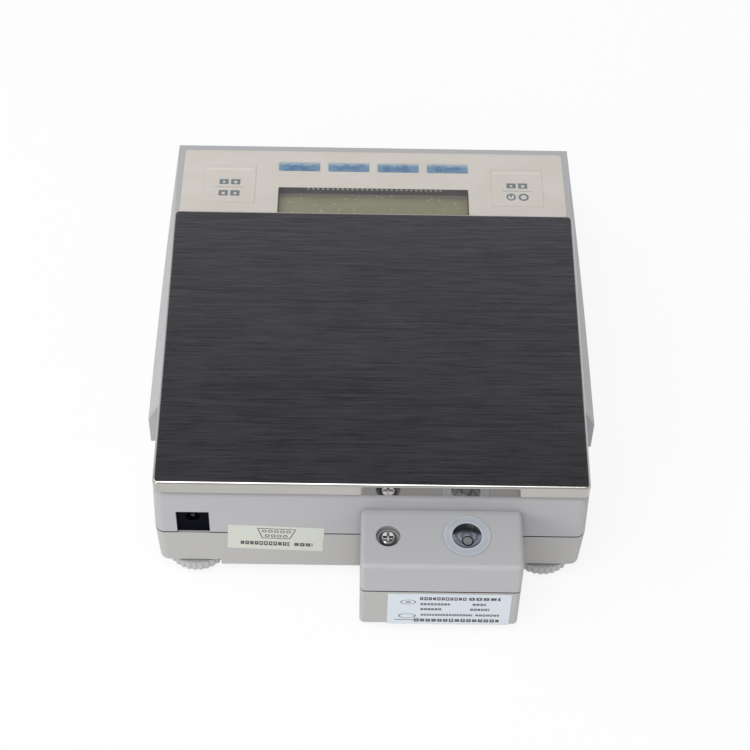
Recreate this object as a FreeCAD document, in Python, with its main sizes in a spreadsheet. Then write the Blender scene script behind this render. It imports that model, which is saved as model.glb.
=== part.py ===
"""Top-loading electronic balance, built as an assembly of separate sub-parts.

The frame has +Z up, the origin on the table under the middle of the balance, the keys towards -Y
and the power socket towards +Y.  All sizes are millimetres.  Each sub-part is one object of the
document, and its label names its STEP file.
"""
import FreeCAD, Part
import math
import os
import re

import Sketcher
from FreeCAD import Placement, Rotation, Vector

# Driving dimensions.  Every entry becomes a cell of the sheet, under its own alias.
SIZES = {
    # outline of the balance
    "overall_length": 246.4, "overall_width": 202.4, "overall_height": 74.0,
    "wing_taper": 3.8, "wing_bow": 1.3, "wing_length": 168.2, "wing_drop": 11.0, "wing_round": 2.5,
    "deck_margin": 5.7, "deck_drop": 10.0, "deck_round": 4.0, "deck_bow": 0.2,
    "seam_level": 34.0, "seam_margin": 4.9, "seam_groove": 0.8,
    "base_level": 6.0, "base_margin": 6.2, "base_round": 2.5, "base_setback": 5.2,
    "plan_round": 4.5, "inner_round": 0.5, "wall": 2.5, "housing_overlap": 10.0,
    # rear block that holds the spirit level
    "block_depth": 29.7, "block_width": 70.8, "block_centre": -31.0, "block_drop": 10.4,
    "block_round": 2.2, "block_end_share": 0.9,
    # weighing pan
    "pan_width": 190.0, "pan_depth": 158.0, "pan_skirt": 7.0, "pan_sheet": 1.2, "pan_overhang": 1.5,
    "pan_corner": 2.5, "pan_edge_round": 1.3,
    "post_half_x": 60.0, "post_half_y": 50.0, "post_radius": 4.0, "post_foot_radius": 6.0,
    "post_hole_radius": 9.0, "collar_wall": 1.6, "collar_height": 1.2,
    "buffer_radius": 9.0, "buffer_height": 4.0, "buffer_cover": 2.0,
    "socket_clearance": 0.4, "socket_wall": 1.6, "socket_height": 2.5,
    # carrier and load cell
    "carrier_thick": 6.0, "spine_width": 32.0, "spine_end": 2.0, "bar_width": 14.0,
    "cell_length": 130.0, "cell_width": 30.0, "cell_height": 22.0, "cell_bore_radius": 8.0,
    "cell_bore_pitch": 30.0, "cell_slot": 4.0,
    "gauge_width": 10.0, "gauge_length": 6.0, "gauge_thick": 0.4,
    "base_spacer_height": 5.0, "top_spacer_height": 4.0, "spacer_length": 27.0,
    "plate_thick": 3.5, "plate_width": 58.0, "plate_margin": 8.0, "plate_rear": 2.0,
    "cell_screw_radius": 3.0, "cell_screw_pitch": 14.0, "cell_screw_head": 5.2,
    "cell_screw_head_height": 2.6, "cell_thread_depth": 12.0,
    "plate_floor": 1.0, "stop_gap": 0.6, "stop_radius": 5.0,
    # front panel, measured down the slope from where the deck ends
    "panel_slope": 8.5, "panel_gap": 3.0, "overlay_margin": 1.7, "overlay_start": 1.0, "overlay_end": 54.0,
    "overlay_thick": 0.8, "overlay_recess": 0.7, "overlay_corner": 2.0,
    "key_gap": 0.3, "key_rise": 0.25, "key_flange": 1.0, "key_flange_thick": 1.2, "key_seat_gap": 0.3,
    "key_travel": 0.4, "key_corner": 1.0,
    "small_key_width": 20.2, "small_key_depth": 6.8, "small_key_pitch": 24.4, "small_key_place": 41.7,
    "small_key_count": 4,
    "large_key_width": 25.0, "large_key_depth": 28.0, "large_key_x": 70.5, "large_key_place": 27.4,
    "window_width": 93.0, "window_depth": 23.0, "window_place": 14.0, "window_thick": 2.6,
    "window_corner": 0.8,
    "glass_thick": 2.2, "glass_margin": 1.6, "glass_gap": 0.2,
    "board_thick": 1.6, "board_drop": 9.0, "board_margin": 5.5, "panel_board_end": 51.5,
    "panel_board_start": 3.0,
    "switch_body": 6.0, "switch_height": 2.6,
    "plunger_radius": 1.7, "plunger_sink": 1.2, "plunger_play": 0.1,
    "boss_radius": 3.4, "boss_inset": 3.8,
    "contact_count": 24, "contact_pitch": 3.1, "contact_width": 1.0, "contact_length": 1.2,
    "contact_thick": 0.15, "contact_setback": 0.8,
    # levelling feet
    "foot_side_inset": 16.0, "foot_rear_inset": 12.85, "foot_front_inset": 23.2,
    "wheel_radius": 14.5, "wheel_height": 5.0, "wheel_level": 4.8, "knurl_count": 31, "knurl_radius": 0.9,
    "knurl_offset": 0.4,
    "stud_radius": 4.0, "stud_top": 25.0, "stud_clearance": 0.05,
    "insert_wall": 2.0, "insert_top": 23.0, "foot_boss_wall": 2.5,
    "foot_recess_level": 11.4, "foot_recess_inward": 11.5, "foot_recess_clearance": 2.0,
    "foot_pad_radius": 9.0, "foot_pad_pin": 2.0, "foot_pin_length": 2.6, "foot_pin_hole": 3.0,
    # socket, labels, level
    "jack_inset": 16.1, "jack_notch": 1.0, "jack_opening_width": 14.6, "jack_opening_height": 16.6,
    "jack_flange": 1.6, "jack_flange_thick": 3.0, "jack_depth": 13.0, "jack_front": 1.25,
    "jack_bore_radius": 3.15, "jack_bore_depth": 9.5, "jack_bore_rise": 11.3, "jack_pin_radius": 1.0,
    "jack_pin_setback": 0.8, "jack_gap": 0.2,
    "label_thick": 0.15, "port_label_width": 43.0, "port_label_height": 18.6, "port_label_offset": 36.5,
    "port_label_level": 29.8, "port_label_turn": 2.9,
    "rating_label_width": 54.6, "rating_label_height": 25.2, "rating_label_offset": 4.2,
    "rating_label_level": 19.2,
    "level_side_inset": 24.5, "level_rear_inset": 16.45, "level_ring_radius": 10.4,
    "level_window_radius": 6.4, "level_ring_height": 5.0, "level_ring_floor": 0.8, "level_ring_rise": 0.2,
    "vial_depth": 1.6, "bubble_radius": 2.6, "bubble_thick": 1.2, "bubble_cover": 0.5,
    "bubble_shift_x": -0.4, "bubble_shift_y": 1.7,
    "block_screw_side_inset": 11.9, "block_screw_rear_inset": 15.95, "block_screw_hole": 5.4,
    "block_screw_depth": 3.4, "block_screw_head": 3.9, "block_screw_head_height": 2.6,
    "block_screw_shank": 1.8, "block_screw_length": 26.0, "block_screw_end": 0.5,
    "cross_width": 1.0, "cross_length": 4.6, "cross_depth": 1.5,
    # boards and fasteners inside
    "main_board_gap": 5.0, "main_board_width": 54.0, "main_board_back": 57.85, "main_board_length": 92.0,
    "main_board_level": 20.0, "board_post_radius": 3.6,
    "board_screw_radius": 1.4, "board_screw_head": 2.8, "board_screw_head_height": 1.8,
    "board_screw_bite": 5.0, "board_screw_end": 0.4, "plate_screw_bite": 1.4,
    "case_screw_radius": 1.9, "case_screw_head": 3.6, "case_screw_head_height": 2.4, "case_screw_seat": 10.0,
    "case_screw_play": 0.4, "case_screw_cover": 18.0, "case_post_radius": 4.6, "case_front_inset": 9.5,
    "case_front_back": 7.15, "case_rear_x": 52.0, "case_rear_inset": 9.35,
    "head_side_share": 0.55, "head_crown_share": 0.7,
    "lead_radius": 1.1, "lead_pitch": 5.0, "lead_shift": 2.0, "lead_rise": 4.0,
    "lead_exit": 7.7, "lead_clear": 5.5, "lead_landing": 4.4, "lead_end": 12.1, "bend_share": 0.45,
    "ribbon_width": 16.0, "ribbon_thick": 0.8, "ribbon_inset": 8.0,
}

# Places worked out from the driving dimensions.  Each becomes a bound property of one variable set.
PLACES = {
    "front_y": "-overall_length / 2",
    "block_rear_y": "overall_length / 2 - label_thick",
    "body_rear_y": "block_rear_y - block_depth",
    "wing_half_rear": "overall_width / 2",
    "wing_half_mid": "overall_width / 2 - wing_bow",
    "wing_half_front": "overall_width / 2 - wing_taper",
    "wing_rear_y": "front_y + wing_length",
    "deck_half": "overall_width / 2 - deck_margin",
    "seam_half": "overall_width / 2 - seam_margin",
    "base_half": "overall_width / 2 - base_margin",
    "base_front_y": "front_y + base_setback",
    "deck_level": "overall_height - deck_drop",
    "wing_top": "deck_level - wing_drop",
    "block_top": "deck_level - block_drop",
    "block_low_x": "block_centre - block_width / 2",
    "block_high_x": "block_centre + block_width / 2",
    "pan_rear_y": "body_rear_y + pan_overhang",
    "pan_front_y": "pan_rear_y - pan_depth",
    "pan_mid_y": "pan_rear_y - pan_depth / 2",
    "pan_half": "pan_width / 2",
    "pan_underside": "overall_height - pan_sheet",
    "skirt_bottom": "overall_height - pan_skirt",
    "buffer_bottom": "pan_underside - buffer_height",
    "post_top": "pan_underside - buffer_cover",
    "floor_top": "base_level + wall",
    "plate_top": "floor_top + plate_thick",
    "cell_bottom": "plate_top + base_spacer_height",
    "cell_top": "cell_bottom + cell_height",
    "carrier_bottom": "cell_top + top_spacer_height",
    "carrier_top": "carrier_bottom + carrier_thick",
    "cell_front_y": "pan_mid_y - cell_length / 2",
    "cell_rear_y": "pan_mid_y + cell_length / 2",
    "panel_start_y": "pan_front_y - panel_gap",
    "overlay_half": "deck_half - overlay_margin",
    "panel_under": "-overlay_recess - wall",
    "key_bottom": "panel_under - key_seat_gap - key_flange_thick",
    "board_top": "-board_drop",
    "board_bottom": "-board_drop - board_thick",
    "switch_top": "board_top + switch_height",
    "plunger_bottom": "switch_top - plunger_sink",
    "panel_board_half": "deck_half - board_margin",
    "panel_boss_x": "panel_board_half - boss_inset",
    "panel_boss_back": "-overlay_start - boss_inset - panel_board_start",
    "panel_boss_front": "-panel_board_end + boss_inset",
    "glass_top": "panel_under - glass_gap",
    "window_front": "-window_place - window_depth / 2",
    "foot_half_x": "base_half - foot_side_inset",
    "foot_rear_y": "body_rear_y - foot_rear_inset",
    "foot_front_y": "front_y + foot_front_inset",
    "foot_recess_inner": "foot_half_x - foot_recess_inward",
    "insert_radius": "stud_radius + insert_wall",
    "foot_boss_radius": "insert_radius + foot_boss_wall",
    "jack_x": "base_half - jack_inset",
    "jack_low": "seam_level - jack_notch",
    "jack_high": "jack_low + jack_opening_height",
    "jack_bore_level": "jack_low + jack_bore_rise",
    "port_label_x": "jack_x - port_label_offset",
    "rating_label_x": "block_centre - rating_label_offset",
    "level_x": "block_low_x + level_side_inset",
    "level_y": "block_rear_y - level_rear_inset",
    "level_ring_top": "block_top + level_ring_rise",
    "level_ring_bottom": "level_ring_top - level_ring_height",
    "vial_bottom": "level_ring_bottom + level_ring_floor",
    "vial_top": "level_ring_top - vial_depth",
    "bubble_top": "vial_top - bubble_cover",
    "bubble_bottom": "bubble_top - bubble_thick",
    "bubble_x": "level_x + bubble_shift_x",
    "bubble_y": "level_y + bubble_shift_y",
    "block_screw_x": "block_high_x - block_screw_side_inset",
    "block_screw_y": "block_rear_y - block_screw_rear_inset",
    "block_screw_seat": "block_top - block_screw_depth",
    "main_board_x": "plate_width / 2 + main_board_gap",
    "main_board_y": "pan_mid_y - main_board_back",
    "main_board_top": "main_board_level + board_thick",
    "case_front_x": "deck_half - case_front_inset",
    "case_front_y": "pan_front_y + case_front_back",
    "case_rear_y": "body_rear_y - case_rear_inset",
    "case_screw_top": "deck_level - case_screw_cover",
}

# Margin by which a cutting tool passes the faces that it cuts, and one that clears the whole balance.
PAST = 1.0
BEYOND = 1000.0
# Smallest difference between two faces that count as apart.
TOUCH = 1e-4

doc = FreeCAD.newDocument("Balance")
sheet = doc.addObject("Spreadsheet::Sheet", "Sizes")
for row, (alias, number) in enumerate(SIZES.items(), start=1):
    sheet.set(f"A{row}", alias)
    sheet.set(f"B{row}", str(number))
    sheet.setAlias(f"B{row}", alias)
doc.recompute()


def expr(text):
    """Turn plain names into references to the sheet and to the variable set."""
    def reference(match):
        word = match.group(0)
        if word in SIZES:
            return f"Sizes.{word}"
        if word in PLACES:
            return f"Places.{word}"
        return word
    return re.sub(r"[A-Za-z_]\w*", reference, str(text))


places = doc.addObject("App::VarSet", "Places")
for place in PLACES:
    places.addProperty("App::PropertyFloat", place)
for place, formula in PLACES.items():
    places.setExpression(place, expr(formula))
doc.recompute()


def num(name):
    """Plain value of a driving dimension or of a place."""
    return float(getattr(places if name in PLACES else sheet, name))


NODES = {}


def node(label, item):
    """Give a finished object the label that names its file, and keep it for the export."""
    item.Label = label
    NODES[label] = item
    return item


def bind(item, **formulas):
    """Bind properties of an object to formulas; two underscores in a key stand for a dot."""
    for key, formula in formulas.items():
        item.setExpression(key.replace("__", "."), expr(formula))
    return item


def block(x, y, z):
    """Box between pairs of formulas along X, Y and Z."""
    item = doc.addObject("Part::Box", "Block")
    bind(item, Length=f"({x[1]}) - ({x[0]})", Width=f"({y[1]}) - ({y[0]})", Height=f"({z[1]}) - ({z[0]})")
    return bind(item, Placement__Base__x=x[0], Placement__Base__y=y[0], Placement__Base__z=z[0])


def centred(x, y, z, width, depth):
    """Box of a width and depth, centred on x and y, between two levels."""
    return block((f"({x}) - ({width}) / 2", f"({x}) + ({width}) / 2"),
                 (f"({y}) - ({depth}) / 2", f"({y}) + ({depth}) / 2"), z)


def rod(x, y, z, radius):
    """Upright cylinder between two levels."""
    item = doc.addObject("Part::Cylinder", "Rod")
    bind(item, Radius=radius, Height=f"({z[1]}) - ({z[0]})")
    return bind(item, Placement__Base__x=x, Placement__Base__y=y, Placement__Base__z=z[0])


def rod_along(axis, start, length, radius):
    """Cylinder from a start point along the unit vector axis."""
    item = doc.addObject("Part::Cylinder", "Rod")
    item.Placement = Placement(Vector(), Rotation(Vector(0, 0, 1), axis))
    bind(item, Radius=radius, Height=length)
    return bind(item, Placement__Base__x=start[0], Placement__Base__y=start[1], Placement__Base__z=start[2])


def past(low, high):
    """Levels of a hole that goes through two faces and a little past both."""
    return (f"{low} - {PAST}", f"{high} + {PAST}")


def fuse(items):
    """One solid, or one group of solids, from several."""
    item = doc.addObject("Part::MultiFuse", "Fuse")
    item.Shapes = list(items)
    return item


def group(items):
    """Separate solids kept side by side in one sub-part."""
    item = doc.addObject("Part::Compound", "Group")
    item.Links = list(items)
    return item


def cut(base, tools):
    """Base with the tools taken away."""
    item = doc.addObject("Part::Cut", "Cut")
    item.Base = base
    item.Tool = tools[0] if len(tools) == 1 else fuse(tools)
    return item


def round_edges(base, radius_name, chosen):
    """Fillet of the base's edges for which chosen(edge) holds."""
    doc.recompute()
    radius = num(radius_name)
    item = doc.addObject("Part::Fillet", "Round")
    item.Base = base
    item.Edges = [(index, radius, radius) for index, edge in enumerate(base.Shape.Edges, start=1)
                  if chosen(edge)]
    return item


def is_upright(edge):
    """True for a straight edge along Z."""
    return isinstance(edge.Curve, Part.Line) and abs(abs(edge.Curve.Direction.z) - 1) < TOUCH


def rounded_slab(x, y, z, width, depth, radius_name):
    """Centred box whose upright edges are rounded."""
    return round_edges(centred(x, y, z, width, depth), radius_name, is_upright)


# ---------------------------------------------------------------- sketched bodies

def new_body(name):
    """Empty part design body."""
    return doc.addObject("PartDesign::Body", name)


def new_sketch(body, role, offset="0"):
    """Sketch on one of the body's own origin planes, raised by an offset."""
    sketch = body.newObject("Sketcher::SketchObject", "Sketch")
    plane = next(item for item in body.Origin.OriginFeatures if item.Role == role)
    sketch.AttachmentSupport = (plane, [""])
    sketch.MapMode = "FlatFace"
    bind(sketch, AttachmentOffset__Base__z=offset)
    return sketch


def pin_point(sketch, geometry, point, formulas):
    """Fix a sketch point at two formulas, measured from the sketch's origin."""
    here = sketch.getPoint(geometry, point)
    for kind, axis, value, formula in (("DistanceX", -2, here.x, formulas[0]),
                                       ("DistanceY", -1, here.y, formulas[1])):
        if str(formula) == "0":
            sketch.addConstraint(Sketcher.Constraint("PointOnObject", geometry, point, axis))
            continue
        if value < 0:
            index = sketch.addConstraint(Sketcher.Constraint(kind, geometry, point, -1, 1, -value))
            sketch.setExpression(f"Constraints[{index}]", expr(f"-({formula})"))
        else:
            index = sketch.addConstraint(Sketcher.Constraint(kind, -1, 1, geometry, point, value))
            sketch.setExpression(f"Constraints[{index}]", expr(formula))


probe = doc.addObject("App::VarSet", "Probe")
probe.addProperty("App::PropertyFloat", "result")


def measure(formula):
    """Present value of a formula, read from a bound property."""
    probe.setExpression("result", expr(f"({formula}) * 1.0"))
    probe.recompute()
    return float(probe.result)


def polygon(sketch, corners):
    """Closed outline whose corners are pairs of formulas."""
    points = [Vector(measure(x), measure(y), 0) for x, y in corners]
    count = len(points)
    for index, start in enumerate(points):
        sketch.addGeometry(Part.LineSegment(start, points[(index + 1) % count]))
    for index in range(count):
        sketch.addConstraint(Sketcher.Constraint("Coincident", index, 2, (index + 1) % count, 1))
    for index, corner in enumerate(corners):
        pin_point(sketch, index, 1, corner)


def circle(sketch, x, y, radius):
    """Circle with its centre and radius bound to formulas."""
    centre = Vector(measure(x), measure(y), 0)
    index = sketch.addGeometry(Part.Circle(centre, Vector(0, 0, 1), measure(radius)))
    pin_point(sketch, index, 3, (x, y))
    size = sketch.addConstraint(Sketcher.Constraint("Radius", index, measure(radius)))
    sketch.setExpression(f"Constraints[{size}]", expr(radius))


def pad(body, sketch, length):
    """Pad of a sketch along its normal."""
    feature = body.newObject("PartDesign::Pad", "Pad")
    feature.Profile = sketch
    bind(feature, Length=length)
    sketch.Visibility = False
    return feature


def turn(body, sketch):
    """Full revolution of a sketch about its own vertical axis."""
    feature = body.newObject("PartDesign::Revolution", "Revolution")
    feature.Profile = sketch
    feature.ReferenceAxis = (sketch, ["V_Axis"])
    feature.Angle = 360
    return feature


def pan_head_screw(x, y, seat, head, head_height, shank, length, up=1):
    """Screw turned from a profile: shank below its seat, or above it when up is -1."""
    body = new_body("Screw")
    sketch = new_sketch(body, "XZ_Plane")
    side = f"({head_height}) * head_side_share"
    crown = f"({head}) * head_crown_share"
    polygon(sketch, [("0", f"-({length})"), (shank, f"-({length})"), (shank, "0"), (head, "0"), (head, side),
                     (crown, head_height), ("0", head_height)])
    turn(body, sketch)
    if up < 0:
        body.Placement = Placement(Vector(), Rotation(Vector(1, 0, 0), 180))
    bind(body, Placement__Base__x=x, Placement__Base__y=y, Placement__Base__z=seat)
    return body


# ---------------------------------------------------------------- outline solids of the housing

def polygon_prism(points, direction):
    """Prism over a closed polygon."""
    return Part.Face(Part.makePolygon(points + points[:1])).extrude(direction)


def box_between(low, high):
    """Box between two opposite corners."""
    return Part.makeBox(high[0] - low[0], high[1] - low[1], high[2] - low[2], Vector(*low))


def fillet_where(shape, radius, chosen):
    """Fillet of the edges that are chosen, none if there are none."""
    edges = [edge for edge in shape.Edges if chosen(edge)]
    return shape.makeFillet(radius, edges) if edges else shape


def inner_radius(radius_name, inset):
    """Radius of a rounded corner after the outline is shrunk by an inset."""
    return max(num(radius_name) - inset, num("inner_round"))


def runs_up(edge, length):
    """True for an edge that rises by more than a length."""
    return edge.BoundBox.ZLength > length


def lies_at(edge, level):
    """True for an edge that lies flat at a level."""
    return abs(edge.BoundBox.ZMin - level) < TOUCH and abs(edge.BoundBox.ZMax - level) < TOUCH


def panel_placement():
    """Placement of the front panel: its surface, sloping down towards the keys."""
    start = Vector(0, num("panel_start_y"), num("deck_level"))
    return Placement(start, Rotation(Vector(1, 0, 0), num("panel_slope")))


def wing_outline(inset, level, half_front, half_mid, half_rear):
    """Closed plan outline of the wide front part, with gently bowed sides."""
    front = num("front_y") + inset
    rear = num("wing_rear_y") - inset
    middle = (front + rear) / 2
    left = [Vector(-half_front, front, level), Vector(-half_mid, middle, level),
            Vector(-half_rear, rear, level)]
    right = [Vector(-point.x, point.y, point.z) for point in left]
    edges = [Part.LineSegment(left[0], right[0]).toShape(), Part.Arc(*right).toShape(),
             Part.LineSegment(right[2], left[2]).toShape(), Part.Arc(*reversed(left)).toShape()]
    return Part.Wire(edges)


def wide_part(inset):
    """Wide front part of the upper housing, shrunk by an inset on all sides but its open bottom."""
    bottom = num("seam_level") + inset
    shoulder = num("wing_top") - inset / 2
    top = num("deck_level") - inset
    halves = [num(name) - inset for name in ("wing_half_front", "wing_half_mid", "wing_half_rear")]
    deck = num("deck_half") - inset
    lower = Part.Face(wing_outline(inset, bottom, *halves)).extrude(Vector(0, 0, shoulder - bottom))
    upper = Part.makeLoft([wing_outline(inset, shoulder, *halves),
                           wing_outline(inset, top, deck, deck + num("deck_bow"), deck)], True, True)
    solid = lower.fuse(upper).removeSplitter()
    drop = inset + (num("overlay_recess") if inset else 0)
    above_panel = box_between((-BEYOND, -BEYOND, -drop), (BEYOND, 0, BEYOND))
    above_panel.Placement = panel_placement()
    return solid.cut(above_panel)


def rear_part(inset):
    """Narrow rear part of the upper housing under the pan."""
    low = num("seam_level")
    top = num("deck_level") - inset
    wide = num("seam_half") - inset
    narrow = num("deck_half") - inset
    start = num("wing_rear_y") - num("housing_overlap")
    rear = num("body_rear_y") - inset
    points = [Vector(-wide, start, low), Vector(wide, start, low), Vector(narrow, start, top),
              Vector(-narrow, start, top)]
    solid = polygon_prism(points, Vector(0, rear - start, 0))

    def at_rear(edge):
        return abs(edge.BoundBox.YMin - rear) < TOUCH and runs_up(edge, num("wall"))

    def at_top(edge):
        return edge.BoundBox.ZMin > top - TOUCH and edge.BoundBox.YMax > start + TOUCH

    solid = fillet_where(solid, inner_radius("plan_round", inset), at_rear)
    return fillet_where(solid, inner_radius("deck_round", inset), at_top)


def rear_block(inset, start, low, high):
    """Rear block between two levels, from a start behind or inside the body to its own rear face."""
    rear = num("block_rear_y") - inset
    half_groove = num("seam_groove") / 2
    solid = box_between((num("block_low_x") + inset, start, low), (num("block_high_x") - inset, rear, high))
    return fillet_where(solid, inner_radius("block_round", inset),
                        lambda edge: abs(edge.BoundBox.YMin - rear) < TOUCH and runs_up(edge, half_groove))


def round_end(block_shape, inset, level):
    """Rear block whose top or bottom edges are rounded at a level, but for the edge at the body."""
    front = num("body_rear_y")
    return fillet_where(block_shape, inner_radius("block_round", inset) * num("block_end_share"),
                        lambda edge: lies_at(edge, level) and edge.BoundBox.YMax > front + TOUCH)


def passage(low, high):
    """Way through the body's rear wall into the rear block."""
    wall = num("wall")
    rear = num("body_rear_y")
    return box_between((num("block_low_x") + wall, rear - wall - PAST, low),
                       (num("block_high_x") - wall, rear + PAST, high))


def jack_way():
    """Opening of the power socket through the rear wall of both housing halves."""
    half = num("jack_opening_width") / 2
    rear = num("body_rear_y")
    return box_between((num("jack_x") - half, rear - num("wall") - PAST, num("jack_low")),
                       (num("jack_x") + half, rear + PAST, num("jack_high")))


def feet_xy():
    """Centres of the four feet: front left, front right, rear left, rear right."""
    half = num("foot_half_x")
    return [(x, y) for y in (num("foot_front_y"), num("foot_rear_y")) for x in (half, -half)]


def foot_recess(grow):
    """Raised corners over the foot wheels, grown by a wall for the floor above them."""
    top = num("foot_recess_level") + grow
    reach = num("wheel_radius") + num("foot_recess_clearance") + grow
    inner = num("foot_recess_inner") - grow
    shapes = []
    for x, y in feet_xy():
        side = 1 if x > 0 else -1
        end = 1 if y > num("pan_front_y") else -1
        across = sorted((side * inner, side * BEYOND))
        along = sorted((y - end * reach, y + end * BEYOND))
        shapes.append(box_between((across[0], along[0], -PAST), (across[1], along[1], top)))
        shapes.append(Part.makeCylinder(reach, top + PAST, Vector(x, y, -PAST)))
    return shapes[0].multiFuse(shapes[1:])


def pillars(points, low, high, radius):
    """Upright round pillars at the given places."""
    return [Part.makeCylinder(radius, high - low, Vector(x, y, low)) for x, y in points]


def case_screw_xy():
    """Places of the screws that hold the two housing halves together."""
    front = [(side * num("case_front_x"), num("case_front_y")) for side in (1, -1)]
    rear = [(side * num("case_rear_x"), num("case_rear_y")) for side in (1, -1)]
    return front + rear


def post_xy():
    """Places of the four posts that carry the pan."""
    half_x = num("post_half_x")
    half_y = num("post_half_y")
    return [(x * half_x, num("pan_mid_y") + y * half_y) for y in (-1, 1) for x in (1, -1)]


def main_board_xy():
    """Places of the posts under the main board."""
    inset = num("boss_inset")
    x_low = num("main_board_x") + inset
    x_high = num("main_board_x") + num("main_board_width") - inset
    y_low = num("main_board_y") + inset
    y_high = num("main_board_y") + num("main_board_length") - inset
    return [(x, y) for x in (x_low, x_high) for y in (y_low, y_high)]


def plate_screw_xy():
    """Places of the screws that hold the base plate to the floor."""
    margin = num("plate_margin")
    half = num("plate_width") / 2 - margin
    ends = (num("cell_front_y") + margin, num("cell_rear_y") - margin)
    return [(x, y) for x in (half, -half) for y in ends]


def key_formulas():
    """Centre, width and depth of every key as formulas: tare, power, then the function keys."""
    large = [(f"{side} * large_key_x", "-large_key_place", "large_key_width", "large_key_depth")
             for side in (1, -1)]
    count = SIZES["small_key_count"]
    small = [(f"{index - (count - 1) / 2} * small_key_pitch", "-small_key_place", "small_key_width",
              "small_key_depth") for index in range(count)]
    return large + small


def slab(x, y, width, depth, low, high, radius):
    """Centred slab with rounded upright edges."""
    solid = box_between((x - width / 2, y - depth / 2, low), (x + width / 2, y + depth / 2, high))
    return fillet_where(solid, radius, is_upright)


def panel_boss_xy():
    """Bosses under the panel that hold the display board."""
    return [(side * num("panel_boss_x"), num(along)) for side in (1, -1)
            for along in ("panel_boss_back", "panel_boss_front")]


def made(label, shape):
    """Sub-part whose shape is set here."""
    item = doc.addObject("Part::Feature", label)
    item.Shape = shape
    return node(label, item)


# ---------------------------------------------------------------- upper housing

def make_upper_housing():
    """Upper shell: deck, wings, sloping panel and rear wall."""
    seam = num("seam_level")
    wall = num("wall")
    front = num("front_y")
    deck = num("deck_level")
    rim = num("wing_round")
    wide = fillet_where(wide_part(0), rim,
                        lambda edge: edge.BoundBox.YMax < front + TOUCH and runs_up(edge, wall))
    wide = fillet_where(wide, rim, lambda edge: edge.BoundBox.ZMax < seam + TOUCH)
    opening = box_between((-num("base_half") + wall, num("base_front_y") + wall, seam - PAST),
                          (num("base_half") - wall, num("body_rear_y") - wall, seam + wall + PAST))
    into_block = passage(seam - PAST, num("block_top") - wall)
    shell = wide.fuse(rear_part(0)).cut(wide_part(wall).multiFuse([rear_part(wall), opening, into_block]))
    posts = pillars(case_screw_xy(), seam, deck - wall, num("case_post_radius"))
    collar_radius = num("post_hole_radius") + num("collar_wall")
    collars = pillars(post_xy(), deck - wall, deck + num("collar_height"), collar_radius)
    shell = shell.multiFuse(panel_bosses() + posts + collars)
    return shell.cut(upper_holes()).removeSplitter()


def panel_bosses():
    """Bosses that stand down from the panel to the display board."""
    start = num("panel_under") + num("wall") / 4
    bosses = pillars(panel_boss_xy(), num("board_top"), start, num("boss_radius"))
    for boss in bosses:
        boss.Placement = panel_placement().multiply(boss.Placement)
    return bosses


def upper_holes():
    """Everything that is cut through the upper housing, as one tool."""
    deck = num("deck_level")
    seam = num("seam_level")
    tools = pillars(post_xy(), deck - num("wall") - PAST, deck + num("collar_height") + PAST,
                    num("post_hole_radius"))
    tools += pillars(case_screw_xy(), seam - PAST, num("case_screw_top") + PAST, num("case_screw_radius"))
    depth = num("panel_under") - PAST
    panel = [slab(0, -(num("overlay_start") + num("overlay_end")) / 2, 2 * num("overlay_half"),
                  num("overlay_end") - num("overlay_start"), -num("overlay_recess"), num("deck_drop"),
                  num("overlay_corner"))]
    gap = num("key_gap")
    for key in key_formulas():
        x, y, width, length = [measure(formula) for formula in key]
        panel.append(slab(x, y, width + 2 * gap, length + 2 * gap, depth, PAST, num("key_corner") + gap))
    panel.append(slab(0, -num("window_place"), num("window_width"), num("window_depth"), depth, PAST,
                      num("window_corner")))
    panel += pillars(panel_boss_xy(), num("board_top") - PAST, num("board_top") + num("board_screw_bite"),
                     num("board_screw_radius"))
    for item in panel:
        item.Placement = panel_placement().multiply(item.Placement)
    return panel[0].multiFuse(panel[1:] + tools + [jack_way()])


def make_block_cover():
    """Upper half of the rear block, with the seats of the spirit level and of its screw."""
    seam = num("seam_level")
    wall = num("wall")
    top = num("block_top")
    start = num("body_rear_y")
    outer = round_end(rear_block(0, start, seam, top), 0, top)
    inner = round_end(rear_block(wall, start - PAST, seam - PAST, top - wall), wall, top - wall)
    screw = [(num("block_screw_x"), num("block_screw_y"))]
    level = [(num("level_x"), num("level_y"))]
    seats = pillars(screw, seam, top - wall / 2, num("case_post_radius"))
    seats += pillars(screw, num("block_screw_seat") - wall, top, num("block_screw_hole") + wall / 2)
    seats += pillars(level, num("level_ring_bottom") - wall, top, num("level_ring_radius") + wall)
    holes = pillars(screw, num("block_screw_seat"), top + PAST, num("block_screw_hole"))
    holes += pillars(screw, seam - PAST, top, num("block_screw_shank"))
    holes += pillars(level, num("level_ring_bottom"), top + PAST, num("level_ring_radius"))
    return outer.cut(inner).multiFuse(seats).cut(holes[0].multiFuse(holes[1:])).removeSplitter()


# ---------------------------------------------------------------- lower housing

def base_half_at(level):
    """Half width of the lower housing at a level, on its slightly sloping sides."""
    base = num("base_level")
    slope = (num("seam_half") - num("base_half")) / (num("seam_level") - base)
    return num("base_half") + slope * (level - base)


def base_solid(inset, low, high):
    """Solid of the lower housing between two levels, shrunk by an inset."""
    half_low = base_half_at(low) - inset
    half_high = base_half_at(high) - inset
    start = num("base_front_y") + inset
    end = num("body_rear_y") - inset
    points = [Vector(-half_low, start, low), Vector(half_low, start, low), Vector(half_high, start, high),
              Vector(-half_high, start, high)]
    solid = polygon_prism(points, Vector(0, end - start, 0))
    return fillet_where(solid, inner_radius("plan_round", inset),
                        lambda edge: runs_up(edge, (high - low) / 2))


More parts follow.
